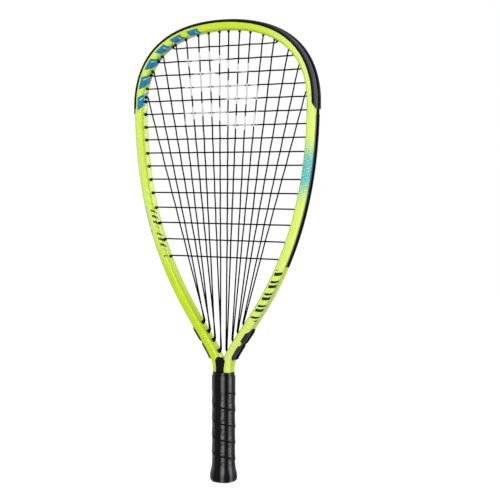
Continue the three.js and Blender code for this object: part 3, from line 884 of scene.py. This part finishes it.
class StringBed:
    """Courses of the two strings through the holes and over and under each other."""

    def __init__(self, scene):
        guard, strings = scene.racket_guard, scene.racket_strings
        self.strings = strings
        self.layout = layout = Layout(scene)
        self.line = line = layout.line
        self.hole_lane = (guard.bore - strings.diameter) / 2 - STRING_SPARE
        self.channel_lane = (guard.channel - strings.diameter) / 2 - STRING_SPARE
        self.pair_lane = (strings.diameter + guard.gap) / 2
        self.cross_tail = guard.strip_end / 2
        self.mains = []
        places = [(-1, rank) for rank in reversed(range(8))] + [(1, rank) for rank in range(8)]
        for index, (hand, rank) in enumerate(places):
            top = hand * layout.main_runs[rank]
            bottom = hand * layout.throat_runs[-1 - rank // 2]
            self.mains.append({
                "index": index, "hand": hand, "rank": rank + 1, "top": top, "bottom": bottom,
                "start": line.spot(top, layout.mouth, 0), "end": line.spot(bottom, layout.mouth, 0),
            })

    def in_lane(self, run, across):
        """Point in the channel outside the tube."""
        return self.line.spot(run, self.layout.lane, across)

    def at_mouth(self, run, across):
        """Point where a string leaves its grommet inside the head."""
        return self.line.spot(run, self.layout.mouth, across)

    def crossing(self, main, cross, lift):
        """Where a main and a cross meet, on the side where the weave puts it, if they do."""
        height = self.layout.cross_heights[cross]
        wide = self.strings.diameter
        start, end = main["start"], main["end"]
        x = start.x + (end.x - start.x) * (start.z - height) / (start.z - end.z)
        reach = self.at_mouth(self.layout.cross_runs[cross], 0).x - wide
        if not end.z + wide < height < start.z - wide or abs(x) >= reach:
            return []
        side = 1 if (main["index"] + cross) % 2 == 0 else -1
        return [Vector((x, lift * side, height))]

    def woven(self, first, crossings, last):
        """Points between two ends, with a smooth wave through the crossings."""
        points = [first]
        knots = [first] + crossings + [last]
        for i, (a, b) in enumerate(zip(knots, knots[1:])):
            for step in range(1, self.strings.steps):
                part = step / self.strings.steps
                point = a.lerp(b, part)
                if 0 < i < len(knots) - 2:
                    point.y = a.y + (b.y - a.y) * (1 - math.cos(math.pi * part)) / 2
                points.append(point)
            points.append(b)
        return points

    def main_points(self, main, side):
        """One main from the channel over the head to the channel under the throat."""
        crossings = []
        for cross in range(len(CROSS_SHARES)):
            crossings += self.crossing(main, cross, self.strings.main_lift)
        top, bottom, across = main["top"], main["bottom"], self.pair_lane * side
        first, last = self.at_mouth(top, self.hole_lane), self.at_mouth(bottom, across)
        way = self.woven(first, crossings, last)
        return [self.in_lane(top, self.hole_lane)] + way + [self.in_lane(bottom, across)]

    def cross_points(self, cross):
        """One cross from the left channel to the right one."""
        crossings = []
        for main in self.mains:
            crossings += self.crossing(main, cross, -self.strings.cross_lift)
        run, across = self.layout.cross_runs[cross], -self.hole_lane
        way = self.woven(self.at_mouth(-run, across), crossings, self.at_mouth(run, across))
        return [self.in_lane(-run, across)] + way + [self.in_lane(run, across)]

    def in_channel(self, start, end, across):
        """The way along a channel between two holes."""
        count = max(1, math.ceil(abs(end - start) / CHANNEL_STEP))
        return [self.in_lane(start + (end - start) * i / count, across) for i in range(1, count)]

    def main_course(self):
        order = [(rank, side, -1) for rank, side in MAIN_ORDER]
        order += [(rank, side, 1) for rank, side in reversed(MAIN_ORDER)]
        found = {(main["hand"], main["rank"]): main for main in self.mains}
        tail, outer = self.strings.tail, self.channel_lane
        points, last = [], None
        for i, (rank, side, hand) in enumerate(order):
            main = found[hand, rank]
            end = "top" if i % 2 == 0 else "bottom"
            if last is None:
                points.append(self.in_lane(main[end] + tail, outer))
            else:
                across = outer if end == "top" else self.pair_lane * side
                points += self.in_channel(last[end], main[end], across)
            way = self.main_points(main, side)
            points += way if end == "top" else way[::-1]
            last = main
        return points + [self.in_lane(last["top"] - tail, outer)]

    def cross_course(self):
        runs = self.layout.cross_runs
        points = [self.in_lane(-runs[0] + self.strings.tail, -self.channel_lane)]
        for i, run in enumerate(runs):
            hand = -1 if i % 2 == 0 else 1
            if i:
                points += self.in_channel(hand * runs[i - 1], hand * run, -self.channel_lane)
            way = self.cross_points(i)
            points += way if hand < 0 else way[::-1]
        return points + [self.in_lane(-(runs[-1] + self.cross_tail), -self.hole_lane)]


def rounded_course(points, reach):
    """Turns each sharp corner of a course into a short curve."""
    course = [points[0]]
    for before, corner, after in zip(points, points[1:], points[2:]):
        into, out = corner - before, after - corner
        if into.angle(out, 0) < PLAIN_TURN:
            course.append(corner)
            continue
        near = corner - into.normalized() * min(reach, into.length / 2.2)
        far = corner + out.normalized() * min(reach, out.length / 2.2)
        for part in (0.0, 0.33, 0.67, 1.0):
            course.append(near.lerp(corner, part).lerp(corner.lerp(far, part), part))
    return course + [points[-1]]


class RACKET_OT_strings(bpy.types.Operator):
    """Model the main string and the cross string"""

    bl_idname = "racket.strings"
    bl_label = "Strings"

    def execute(self, context):
        scene = context.scene
        strings = scene.racket_strings
        bed = StringBed(scene)
        material = inked_string(scene)
        for name, node, course in (
            ("mains", "main_string", bed.main_course()),
            ("crosses", "cross_string", bed.cross_course()),
        ):
            curve = drawn_curve(name, rounded_course(course, STRING_CORNER))
            curve.data.bevel_depth = strings.diameter / 2
            curve.data.bevel_resolution = strings.sides
            curve.data.use_fill_caps = True
            curve.data.twist_mode = "MINIMUM"
            only(curve)
            bpy.ops.object.convert(target="MESH")
            finish_piece(bpy.context.object, material, node, 60, False)
        return {"FINISHED"}


# The handle.


def octagon_block(name, handle, low, high):
    """An upright block with the outline of the grip."""
    half_width, half_depth = handle.width / 2, handle.depth / 2
    piece = block(name, (-half_width, -half_depth, low), (half_width, half_depth, high))
    round_edges(piece, handle.bevel, 1, runs_along(2))
    round_edges(piece, handle.edge * math.tan(math.pi / 8), 4, runs_along(2))
    return piece


def octagon_walk(handle, grow, steps):
    """Points round the grip's outline, with rounded corners, anticlockwise from above."""
    half_width = handle.width / 2 + grow
    half_depth = handle.depth / 2 + grow
    bevel = handle.bevel + grow * (2 - math.sqrt(2))
    x, y = half_width - bevel, half_depth - bevel
    corners = [Vector(corner) for corner in (
        (half_width, -y), (half_width, y), (x, half_depth), (-x, half_depth),
        (-half_width, y), (-half_width, -y), (-x, -half_depth), (x, -half_depth),
    )]
    reach = handle.edge * math.tan(math.pi / 8)
    walk = []
    for i, corner in enumerate(corners):
        into = (corner - corners[i - 1]).normalized()
        out = (corners[(i + 1) % 8] - corner).normalized()
        for step in range(steps + 1):
            part = step / steps
            near = (corner - into * reach).lerp(corner, part)
            far = corner.lerp(corner + out * reach, part)
            walk.append(near.lerp(far, part))
    return walk


class RACKET_OT_grip(bpy.types.Operator):
    """Wind the grip tape round the handle"""

    bl_idname = "racket.grip"
    bl_label = "Grip"

    def execute(self, context):
        scene = context.scene
        handle = scene.racket_handle
        bottom = handle.cap_height + HANDLE_GAP
        path = self.path(handle, bottom)
        run = path.data.splines[0].calc_length()
        half = (handle.pitch + handle.overlap) / 2
        tape = block("grip", (0, -handle.tape / 2, -half), (run, handle.tape / 2, half))
        with edit_mode(tape):
            pick(tape, "EDGE", runs_along(0))
            bpy.ops.mesh.bevel(offset=handle.tape * 0.4, segments=3, affect="EDGES")
        slice_along(tape, 2, -half + MM, half - MM, FLAT_STEP)
        slice_along(tape, 0, 0, run, LONG_STEP)
        tilt = handle.step / (2 * half)
        for vertex in tape.data.vertices:
            vertex.co.y += vertex.co.z * tilt
        note_straight_form(tape)
        bend_along(tape, path)
        trim(tape, (0, 0, handle.grip_top), (0, 0, 1))
        trim(tape, (0, 0, bottom), (0, 0, -1))
        finish_piece(tape, grip_tape(scene), "grip_wrap", 50)
        return {"FINISHED"}

    @staticmethod
    def path(handle, bottom):
        """The helix that the tape follows."""
        walk = octagon_walk(handle, -(handle.tape + handle.step) / 2, 5)
        lengths = [(walk[(i + 1) % len(walk)] - point).length for i, point in enumerate(walk)]
        around = sum(lengths)
        turns = math.ceil((handle.grip_top - bottom) / handle.pitch) + 2
        points, travelled = [], 0.0
        for place, stretch in list(zip(walk, lengths)) * turns:
            height = handle.grip_top + handle.pitch * (TAPE_PHASE - travelled / around)
            points.append(Vector((place.x, place.y, height)))
            travelled += stretch
        path = drawn_curve("tape_path", points)
        path.data.twist_mode = "Z_UP"
        return path


class RACKET_OT_collar(bpy.types.Operator):
    """Model the rubber collar over the top of the grip"""

    bl_idname = "racket.collar"
    bl_label = "Collar"

    def execute(self, context):
        scene = context.scene
        handle = scene.racket_handle
        low, high = handle.grip_top + HANDLE_GAP, handle.collar_top - handle.collar_step
        piece = octagon_block("collar", handle, low, high)
        upwards = (0, 0, handle.collar_step)
        with edit_mode(piece):
            pick(piece, "FACE", lambda face: face.normal.z > 0.9)
            bpy.ops.mesh.inset(thickness=handle.collar_inset)
            bpy.ops.mesh.extrude_region_move(TRANSFORM_OT_translate={"value": upwards})
        soften(piece, COLLAR_EDGE, 3)
        finish_piece(piece, rubber(scene, "collar_rubber", 0.32), "grip_collar")
        return {"FINISHED"}


class RACKET_OT_butt_cap(bpy.types.Operator):
    """Model the flared butt cap with its cord hole"""

    bl_idname = "racket.butt_cap"
    bl_label = "Butt Cap"

    def execute(self, context):
        scene = context.scene
        handle = scene.racket_handle
        piece = octagon_block("cap", handle, 0, handle.cap_height)
        slice_along(piece, 2, 0, handle.cap_height, MM)
        for vertex in piece.data.vertices:
            grow = self.flare(handle, vertex.co.z)
            vertex.co.x *= 1 + 2 * grow / handle.width
            vertex.co.y *= 1 + 2 * grow / handle.depth
        add = bpy.ops.mesh.primitive_cylinder_add
        hole = added(add, vertices=32, radius=handle.cord_hole / 2, depth=CORD_HOLE_DEPTH)
        solve(piece, hole, "DIFFERENCE")
        soften(piece, CAP_RIM, 2)
        finish_piece(piece, rubber(scene, "cap_plastic", 0.26), "butt_cap")
        return {"FINISHED"}

    @staticmethod
    def flare(handle, height):
        """How far the cap stands out from the grip at a height."""
        if height < handle.cap_edge:
            sine = 1 - height / handle.cap_edge
            return handle.cap_flare - handle.cap_edge * (1 - math.sqrt(max(0, 1 - sine * sine)))
        if height < handle.cap_widest:
            return handle.cap_flare
        part = (height - handle.cap_widest) / (handle.cap_height - handle.cap_widest)
        return handle.cap_flare * (1 + math.cos(math.pi * part)) / 2


class RACKET_OT_pallet(bpy.types.Operator):
    """Give the hidden pallet halves their foam"""

    bl_idname = "racket.pallet"
    bl_label = "Pallet"

    def execute(self, context):
        material = foam(context.scene)
        for name in ("pallet_front", "pallet_back"):
            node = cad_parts[name]
            node.data.materials.clear()
            node.data.materials.append(material)
        return {"FINISHED"}


# Materials.


class Wire:
    """A number that flows through a material, with the usual arithmetic."""

    def __init__(self, nodes, socket):
        self.nodes = nodes
        self.socket = socket

    def math(self, operation, *others):
        return self.nodes.node("ShaderNodeMath", [self, *others], operation=operation)

    def __add__(self, other):
        return self.math("ADD", other)

    def __sub__(self, other):
        return self.math("SUBTRACT", other)

    def __rsub__(self, other):
        return self.nodes.node("ShaderNodeMath", [other, self], operation="SUBTRACT")

    def __mul__(self, other):
        return self.math("MULTIPLY", other)

    def __truediv__(self, other):
        return self.math("DIVIDE", other)

    def __mod__(self, other):
        return self.math("FLOORED_MODULO", other)

    def __abs__(self):
        return self.math("ABSOLUTE")

    __radd__ = __add__
    __rmul__ = __mul__

    def larger(self, other):
        return self.math("MAXIMUM", other)

    def smaller(self, other):
        return self.math("MINIMUM", other)

    def above(self, edge, blur):
        """1 where this is above an edge, 0 below, with a soft step."""
        return self.nodes.node(
            "ShaderNodeMapRange", [self, edge - blur, edge + blur], interpolation_type="SMOOTHSTEP"
        )

    def between(self, low, high, blur):
        return self.above(low, blur) * (1 - self.above(high, blur))


class Nodes:
    """The nodes of one material or world."""

    def __init__(self, owner):
        owner.use_nodes = True
        self.tree = owner.node_tree

    def node(self, kind, inputs=(), output=0, **settings):
        """Adds a node, with its settings first and then the values or links of its sockets."""
        made = self.tree.nodes.new(kind)
        for key, value in settings.items():
            setattr(made, key, value)
        self.feed(made, inputs if isinstance(inputs, dict) else dict(enumerate(inputs)))
        return Wire(self, made.outputs[output])

    def feed(self, made, inputs):
        for key, value in inputs.items():
            if isinstance(value, Wire):
                self.tree.links.new(value.socket, made.inputs[key])
            else:
                made.inputs[key].default_value = value

    def white_for_view(self):
        """1 for what the camera sees, straight, by reflection or through glass."""
        rays = self.tree.nodes.new("ShaderNodeLightPath").outputs
        seen, glossy, through = (
            Wire(self, rays[name])
            for name in ("Is Camera Ray", "Is Glossy Ray", "Is Transmission Ray")
        )
        return seen.larger(glossy).larger(through)


class Paint(Nodes):
    """One material and its nodes."""

    def __init__(self, name, scene):
        self.material = bpy.data.materials.new(name)
        self.finishes = scene.racket_finishes
        super().__init__(self.material)

    def mix(self, factor, *colours):
        """Mixes two colours, each the name of a finish, plain numbers or a mixed colour."""
        first, second = (
            (*getattr(self.finishes, c), 1) if isinstance(c, str) else c for c in colours
        )
        inputs = {0: factor, 6: first, 7: second}
        return self.node("ShaderNodeMix", inputs, 2, data_type="RGBA")

    def in_millimetres(self, place):
        """A place in millimetres, and its three numbers."""
        inputs = {0: place, 3: 1 / MM}
        place = self.node("ShaderNodeVectorMath", inputs, operation="SCALE")
        return place, [self.node("ShaderNodeSeparateXYZ", [place], i) for i in range(3)]

    def straight(self):
        """Place in the straight form: run, level and front."""
        attribute = self.node("ShaderNodeAttribute", (), "Vector", attribute_name="straight")
        return self.in_millimetres(attribute)

    def upright(self):
        """Place on the finished racket."""
        return self.in_millimetres(self.node("ShaderNodeTexCoord", (), "Object"))

    def noise(self, place, scale, detail=2.0, roughness=0.5):
        inputs = {"Vector": place, "Scale": scale, "Detail": detail, "Roughness": roughness}
        return self.node("ShaderNodeTexNoise", inputs)

    def bump(self, height, strength, distance):
        inputs = {"Strength": strength, "Distance": distance, "Height": height}
        return self.node("ShaderNodeBump", inputs)

    def finish(self, inputs):
        """Gives the shader's sockets their values or links."""
        self.feed(self.tree.nodes["Principled BSDF"], inputs)
        return self.material


# Prints on the lacquer, in millimetres: their extent in runs, their extent across the front
# face from the inner side outwards, the pitch of what repeats and its bars, and their slant.
BLOCK_RUN, BLOCK_ACROSS, BLOCK_SLANT = (-184, -24), (-18, 0.5), 0.55
BLOCK_PITCH, BLOCK_BAR = 26.0, (2.0, 18.5)
SLIT_BAR, SLIT_ACROSS = (13.0, 14.4), (-13, -3)
DOT_CELLS, DOT_SIZE, DOT_SPREAD = 0.55, 0.52, 0.35
DOT_RIGHT_RUN, DOT_RIGHT_ACROSS = (225, 285), (-5.5, 13)
DOT_LEFT_RUN, DOT_LEFT_ACROSS = (-340, -292), (2.5, 9)
BAR_RUN, BAR_ACROSS, BAR_SLANT = (-368, -296), (-14, -3), -0.4
BAR_PITCH, BAR_BAR = 7.5, (1.2, 4.4)
BAR_GROUP_PITCH, BAR_GROUP = 30.0, (4.0, 26.0)
NAVY_RUN, NAVY_ACROSS, NAVY_SLANT = (378, 448), (-2.0, 9.0), 0.5
NAVY_PITCH, NAVY_BARS = 17.0, ((1.5, 4.6), (7.2, 11.5))
THREAD_RUN, THREAD_ACROSS = (384, 440), (10.4, 11.4)
CRISP = 0.25
PRINT_BLACK = (0.006, 0.006, 0.008, 1)
# Painted shade in the seams of the grip tape.
SEAM_SHADE = (0.0008, 0.0008, 0.0009, 1)
FOAM_DARK = (0.03, 0.03, 0.032, 1)


def lacquer(scene):
    """Lime lacquer with a painted sheen on its front faces, painted shade on its sides, and generic
    blocks, dots and bars in blue, cyan, black and navy.
    """
    paint = Paint("lime_lacquer", scene)
    place, (run, level, front) = paint.straight()
    half_depth = scene.racket_tube.depth / 2 / MM
    across = level + level.math("SIGN") * (half_depth - front)

    flow = paint.noise(place, 0.03, 3.0)
    tone = paint.mix(flow.between(0.35, 0.75, 0.2) * 0.35, "lime", "lime_shade")
    # Painted sheen: paler lime on the front faces along both sides, stronger on the right, where
    # the key lamp falls.
    sides = run.above(80, 40) + (0 - run).between(80, 360, 40) * 0.85
    tone = paint.mix(sides * across.between(-4.0, 8.0, 2.0), tone, "pale_lime")
    # Painted shade: darker lime on the inner and outer sides of the tube, away from the front face.
    flank_shade = 1 - (across - run.above(0.0, 5.0) * 3.0).between(-8.5, 5.6, 1.2)
    tone = paint.mix(flank_shade * 0.5, tone, "flank_lime")

    along = (run + across * BLOCK_SLANT) % BLOCK_PITCH
    blocks = along.between(*BLOCK_BAR, CRISP) * run.between(*BLOCK_RUN, CRISP)
    slit = 1 - along.between(*SLIT_BAR, 0.2) * across.between(*SLIT_ACROSS, 0.2)
    tone = paint.mix(blocks * across.between(*BLOCK_ACROSS, CRISP) * slit, tone, "blue")

    cells = [run * DOT_CELLS, across * DOT_CELLS, 0.0]
    inputs = {"Vector": paint.node("ShaderNodeCombineXYZ", cells), "Scale": 1.0}
    inputs["Randomness"] = DOT_SPREAD
    dots = paint.node("ShaderNodeTexVoronoi", inputs, "Distance", voronoi_dimensions="2D")
    right = run.between(*DOT_RIGHT_RUN, 24) * across.between(*DOT_RIGHT_ACROSS, 2.5)
    left = run.between(*DOT_LEFT_RUN, 14) * across.between(*DOT_LEFT_ACROSS, 1.5)
    size = right.larger(left) * DOT_SIZE
    tone = paint.mix((size - dots).above(0.0, 0.05), tone, "cyan")

    along = run + across * BAR_SLANT
    bars = (along % BAR_PITCH).between(*BAR_BAR, CRISP) * across.between(*BAR_ACROSS, CRISP)
    groups = (along % BAR_GROUP_PITCH).between(*BAR_GROUP, 0.3)
    tone = paint.mix(bars * groups * run.between(*BAR_RUN, 0.3), tone, PRINT_BLACK)

    along = (run + across * NAVY_SLANT) % NAVY_PITCH
    thin, wide = (along.between(*bar, CRISP) for bar in NAVY_BARS)
    navy = (thin + wide) * across.between(*NAVY_ACROSS, CRISP) * run.between(*NAVY_RUN, 0.3)
    tone = paint.mix(navy, tone, "navy")
    thread = across.between(*THREAD_ACROSS, 0.2) * run.between(*THREAD_RUN, 1.0)
    tone = paint.mix(thread * 0.7, tone, "cyan")

    grain = paint.noise(place, 1.6)
    return paint.finish({
        "Base Color": tone,
        "Roughness": grain * 0.08 + 0.2,
        "Specular IOR Level": 0.2,
        "Coat Weight": 0.15,
        "Coat Roughness": 0.06,
        "Normal": paint.bump(grain, 0.02, 0.0002),
    })


def moulded_plastic(scene):
    """Black plastic with a fine moulded grain, and a painted grey sheen where it stands proud of
    the tube.
    """
    name = "moulded_plastic"
    if name in bpy.data.materials:
        return bpy.data.materials[name]
    paint = Paint(name, scene)
    place, _ = paint.upright()
    _, (run, level, front) = paint.straight()
    grain = paint.noise(place, 2.6, 3.0, 0.6)
    cloud = paint.noise(place, 0.08, 3.0)
    reach, face = abs(run), scene.racket_tube.width / 2 / MM
    # Painted sheen: grey on the front wings where they stand proud, halved on the throat pieces, in
    # place of a reflection.
    wing = level.above(face - 2.2, 0.5) * front.between(2.6, 7.9, 0.5) * reach.above(80, 30)
    painted_sheen = wing * (0.8 + cloud * 0.4) * (1 - reach.above(400, 10) * 0.5)
    return paint.finish({
        "Base Color": paint.mix(painted_sheen.smaller(1.0), "black_plastic", "scuffed_plastic"),
        "Roughness": grain * 0.14 + cloud * 0.1 + 0.34,
        "Specular IOR Level": 0.06,
        "Normal": paint.bump(grain, 0.12, 0.0002),
    })


# Ink on the strings, in millimetres: heights of its wavy bands, how far they sway, over what
# width of the bed they do, and the middle and half width of the inked part.
INK_BANDS = ((436, 452), (466, 490), (504, 514))
INK_SWAY, INK_WAVE = 9.0, 17.0
INK_MIDDLE, INK_REACH = -4.0, 52.0


def inked_string(scene):
    """Black string with pale ink in three wavy bands over the middle of the bed."""
    paint = Paint("inked_string", scene)
    place, (x, y, z) = paint.upright()
    height = z + (x / INK_WAVE).math("SINE") * INK_SWAY
    first, second, third = (height.between(*band, 0.5) for band in INK_BANDS)
    inside = 1 - abs(x - INK_MIDDLE).above(INK_REACH, 1.0)
    facing = 1 - y.above(0.2, 0.5)
    wear = paint.noise(place, 0.9, 3.0).between(0.3, 1.5, 0.08)
    ink = ((first + second + third) * inside * facing * wear).smaller(1.0)
    fibre = paint.noise(place, 3.0)
    return paint.finish({
        "Base Color": paint.mix(ink, "string_black", "ink"),
        "Roughness": ink * 0.25 + fibre * 0.1 + 0.3,
        "Specular IOR Level": 0.02,
        "Normal": paint.bump(fibre, 0.1, 0.0001),
    })


def painted_edge_highlight(paint, handle):
    """1 on the rounded long edges of the handle, where a highlight is painted, fainter on its left
    half, and 0 on its flats.
    """
    _, (x, y, _) = paint.upright()
    half_width, half_depth = handle.width / 2 / MM, handle.depth / 2 / MM
    bevel = handle.bevel / MM
    place = paint.node("ShaderNodeCombineXYZ", [abs(x), abs(y), 0.0])
    front, side = (
        paint.node("ShaderNodeVectorMath", [place, corner], "Value", operation="DISTANCE")
        for corner in ((half_width - bevel, half_depth, 0), (half_width, half_depth - bevel, 0))
    )
    return (1 - front.smaller(side).above(2.3, 1.0)) * (0.35 + x.above(0.0, 3.0) * 0.65)


def grip_tape(scene):
    """Tacky black tape, creased on the slant, with painted shade in its seams and painted
    highlights on its long edges.
    """
    handle = scene.racket_handle
    paint = Paint("grip_tape", scene)
    place, (along, thick, wide) = paint.straight()
    grain = paint.noise(place, 1.8, 3.0, 0.6)
    slanted = [along - wide, thick, (along + wide) * 0.22]
    crease = paint.noise(paint.node("ShaderNodeCombineXYZ", slanted), 0.5, 3.0, 0.6)
    cloud = paint.noise(place, 0.12)
    half = handle.pitch / 2 / MM
    flat = wide.between(0.8 - half, half - 0.6, 0.5)
    # Painted highlight: pale grey along the long edges of the handle, broken by the creases and off
    # at the seams.
    edge_highlight = painted_edge_highlight(paint, handle) * flat * (0.25 + crease.above(0.48, 0.1) * 0.75)
    # Painted shade: the tape darkens towards its seams, where the step of the next turn shades it.
    tone = paint.mix((0.3 + flat * 0.7) * (0.6 + cloud * 0.8), SEAM_SHADE, "tape_black")
    return paint.finish({
        "Base Color": paint.mix(edge_highlight * 0.8, tone, "tape_worn"),
        "Roughness": cloud * 0.12 + grain * 0.1 + 0.34,
        "Specular IOR Level": 0.06,
        "Coat Weight": edge_highlight,
        "Coat Roughness": 0.15,
        "Normal": paint.bump(crease * 0.8 + grain * 0.2, 0.7, 0.0006),
    })


def rubber(scene, name, smoothest):
    """Black rubber or plastic with a faint grain and painted highlights on its long edges."""
    paint = Paint(name, scene)
    place, _ = paint.upright()
    grain = paint.noise(place, 2.2, 3.0, 0.6)
    cloud = paint.noise(place, 0.15)
    # Painted highlight: pale grey along the long edges of the collar and the cap.
    edge_highlight = painted_edge_highlight(paint, scene.racket_handle) * (0.5 + cloud * 0.4)
    return paint.finish({
        "Base Color": paint.mix(edge_highlight * 0.9, "rubber_black", "tape_worn"),
        "Roughness": cloud * 0.14 + grain * 0.08 + smoothest,
        "Specular IOR Level": 0.06,
        "Coat Weight": edge_highlight,
        "Coat Roughness": 0.25,
        "Normal": paint.bump(grain, 0.15, 0.0002),
    })


def foam(scene):
    """Dull grey foam, hidden in the handle."""
    paint = Paint("pallet_foam", scene)
    place, _ = paint.upright()
    cells = paint.noise(place, 1.2, 3.0)
    return paint.finish({
        "Base Color": paint.mix(cells, "foam", FOAM_DARK),
        "Roughness": cells * 0.1 + 0.85,
        "Normal": paint.bump(cells, 0.3, 0.0004),
    })


# The stage.

# Setting for the power, azimuth in degrees from the front towards the right, distance, height,
# width and tallness of each lamp, in metres.
LAMPS = (
    ("front", 11, 1.5, 0.45, 0.3, 1.5),
    ("right", 101, 1.5, 0.45, 0.3, 1.5),
    ("left", -33, 2.0, 0.9, 1.2, 1.4),
    ("key", 42, 2.1, 1.2, 0.9, 0.9),
    ("rear", 147, 2.0, 0.7, 0.4, 1.3),
)
LAMP_AIM = Vector((0, 0, 0.3))
FLOOR_SIZE, FLOOR_DROP = 12, 0.3 * MM
FLOOR_GREY = (0.5, 0.5, 0.5, 1)
FLOOR_GLOW = (0.84, 0.84, 0.84, 1)


def stand(azimuth, distance, height):
    """Place round the racket, by its angle from the front towards the right."""
    return Vector((distance * math.sin(azimuth), -distance * math.cos(azimuth), height))


class RACKET_OT_stage(bpy.types.Operator):
    """Set up the floor, the lamps, the sky and the camera"""

    bl_idname = "racket.stage"
    bl_label = "Stage"

    def execute(self, context):
        scene = context.scene
        stage = scene.racket_stage
        scene.view_settings.view_transform = "Standard"
        self.camera(scene, stage)
        self.floor()
        self.sky(scene, stage)
        for name, azimuth, distance, height, width, tallness in LAMPS:
            place = stand(math.radians(azimuth), distance, height)
            self.lamp(name + "_lamp", getattr(stage, name), place, width, tallness)
        return {"FINISHED"}

    def camera(self, scene, stage):
        facing = stage.azimuth + stage.turn
        level, down = math.cos(stage.dip), math.sin(stage.dip)
        forward = Vector((-math.sin(facing) * level, math.cos(facing) * level, -down))
        right = Vector((math.cos(facing), math.sin(facing), 0))
        up = right.cross(forward)
        rolled = right * math.cos(stage.roll) + up * math.sin(stage.roll)
        up = up * math.cos(stage.roll) - right * math.sin(stage.roll)
        bpy.ops.object.camera_add(location=stand(stage.azimuth, stage.distance, stage.height))
        camera = bpy.context.object
        camera.name = "camera"
        camera.rotation_mode = "QUATERNION"
        camera.rotation_quaternion = Matrix((rolled, up, -forward)).transposed().to_quaternion()
        camera.data.sensor_width = 36
        camera.data.lens = stage.lens
        camera.data.clip_start = 0.05
        scene.camera = camera

    def floor(self):
        floor = added(
            bpy.ops.mesh.primitive_plane_add, size=FLOOR_SIZE, location=(0, 0, -FLOOR_DROP)
        )
        floor.name = "floor"
        material = bpy.data.materials.new("floor_white")
        nodes = Nodes(material)
        nodes.tree.nodes.remove(nodes.tree.nodes["Principled BSDF"])
        matt = nodes.node("ShaderNodeBsdfDiffuse", {"Color": FLOOR_GREY})
        inputs = {"Color": FLOOR_GLOW, "Strength": nodes.white_for_view()}
        both = nodes.node("ShaderNodeAddShader", [matt, nodes.node("ShaderNodeEmission", inputs)])
        nodes.feed(nodes.tree.nodes["Material Output"], {"Surface": both})
        floor.data.materials.append(material)

    def sky(self, scene, stage):
        world = bpy.data.worlds.new("sky")
        nodes = Nodes(world)
        inputs = {"Value": nodes.white_for_view(), "To Min": stage.sky, "To Max": 1.0}
        strength = nodes.node("ShaderNodeMapRange", inputs)
        nodes.feed(nodes.tree.nodes["Background"], {"Color": (1, 1, 1, 1), "Strength": strength})
        scene.world = world

    def lamp(self, name, power, place, width, tallness):
        bpy.ops.object.light_add(type="AREA", location=place)
        lamp = bpy.context.object
        lamp.name = name
        lamp.data.shape = "RECTANGLE"
        lamp.data.size = width
        lamp.data.size_y = tallness
        lamp.data.energy = power
        lamp.rotation_mode = "QUATERNION"
        lamp.rotation_quaternion = (LAMP_AIM - place).to_track_quat("-Z", "Y")


class RACKET_PT_panel(bpy.types.Panel):
    """Buttons and sizes for the racket"""

    bl_label = "Racket"
    bl_idname = "RACKET_PT_panel"
    bl_space_type = "VIEW_3D"
    bl_region_type = "UI"
    bl_category = "Racket"

    def draw(self, context):
        layout = self.layout
        for operator in OPERATORS:
            layout.operator(operator.bl_idname)
        for name in SETTINGS:
            box = layout.box()
            group = getattr(context.scene, name)
            for key in group.__annotations__:
                box.prop(group, key)


SETTINGS = {
    "racket_tube": TubeSizes,
    "racket_guard": GuardSizes,
    "racket_strings": StringSizes,
    "racket_handle": HandleSizes,
    "racket_finishes": Finishes,
    "racket_stage": StageSettings,
}
OPERATORS = (
    RACKET_OT_tube,
    RACKET_OT_bumper,
    RACKET_OT_side_strips,
    RACKET_OT_throat_pieces,
    RACKET_OT_bridge,
    RACKET_OT_strings,
    RACKET_OT_grip,
    RACKET_OT_collar,
    RACKET_OT_butt_cap,
    RACKET_OT_pallet,
    RACKET_OT_stage,
)
CLASSES = (*SETTINGS.values(), *OPERATORS, RACKET_PT_panel)


def register():
    for kind in CLASSES:
        bpy.utils.register_class(kind)
    for name, group in SETTINGS.items():
        setattr(bpy.types.Scene, name, PointerProperty(type=group))


def unregister():
    for name in SETTINGS:
        delattr(bpy.types.Scene, name)
    for kind in reversed(CLASSES):
        bpy.utils.unregister_class(kind)


def main():
    register()
    bpy.ops.racket.tube()
    bpy.ops.racket.bumper()
    bpy.ops.racket.side_strips()
    bpy.ops.racket.throat_pieces()
    bpy.ops.racket.bridge()
    bpy.ops.racket.strings()
    bpy.ops.racket.grip()
    bpy.ops.racket.collar()
    bpy.ops.racket.butt_cap()
    bpy.ops.racket.pallet()
    bpy.ops.racket.stage()
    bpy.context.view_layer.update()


if __name__ == "__main__":
    main()
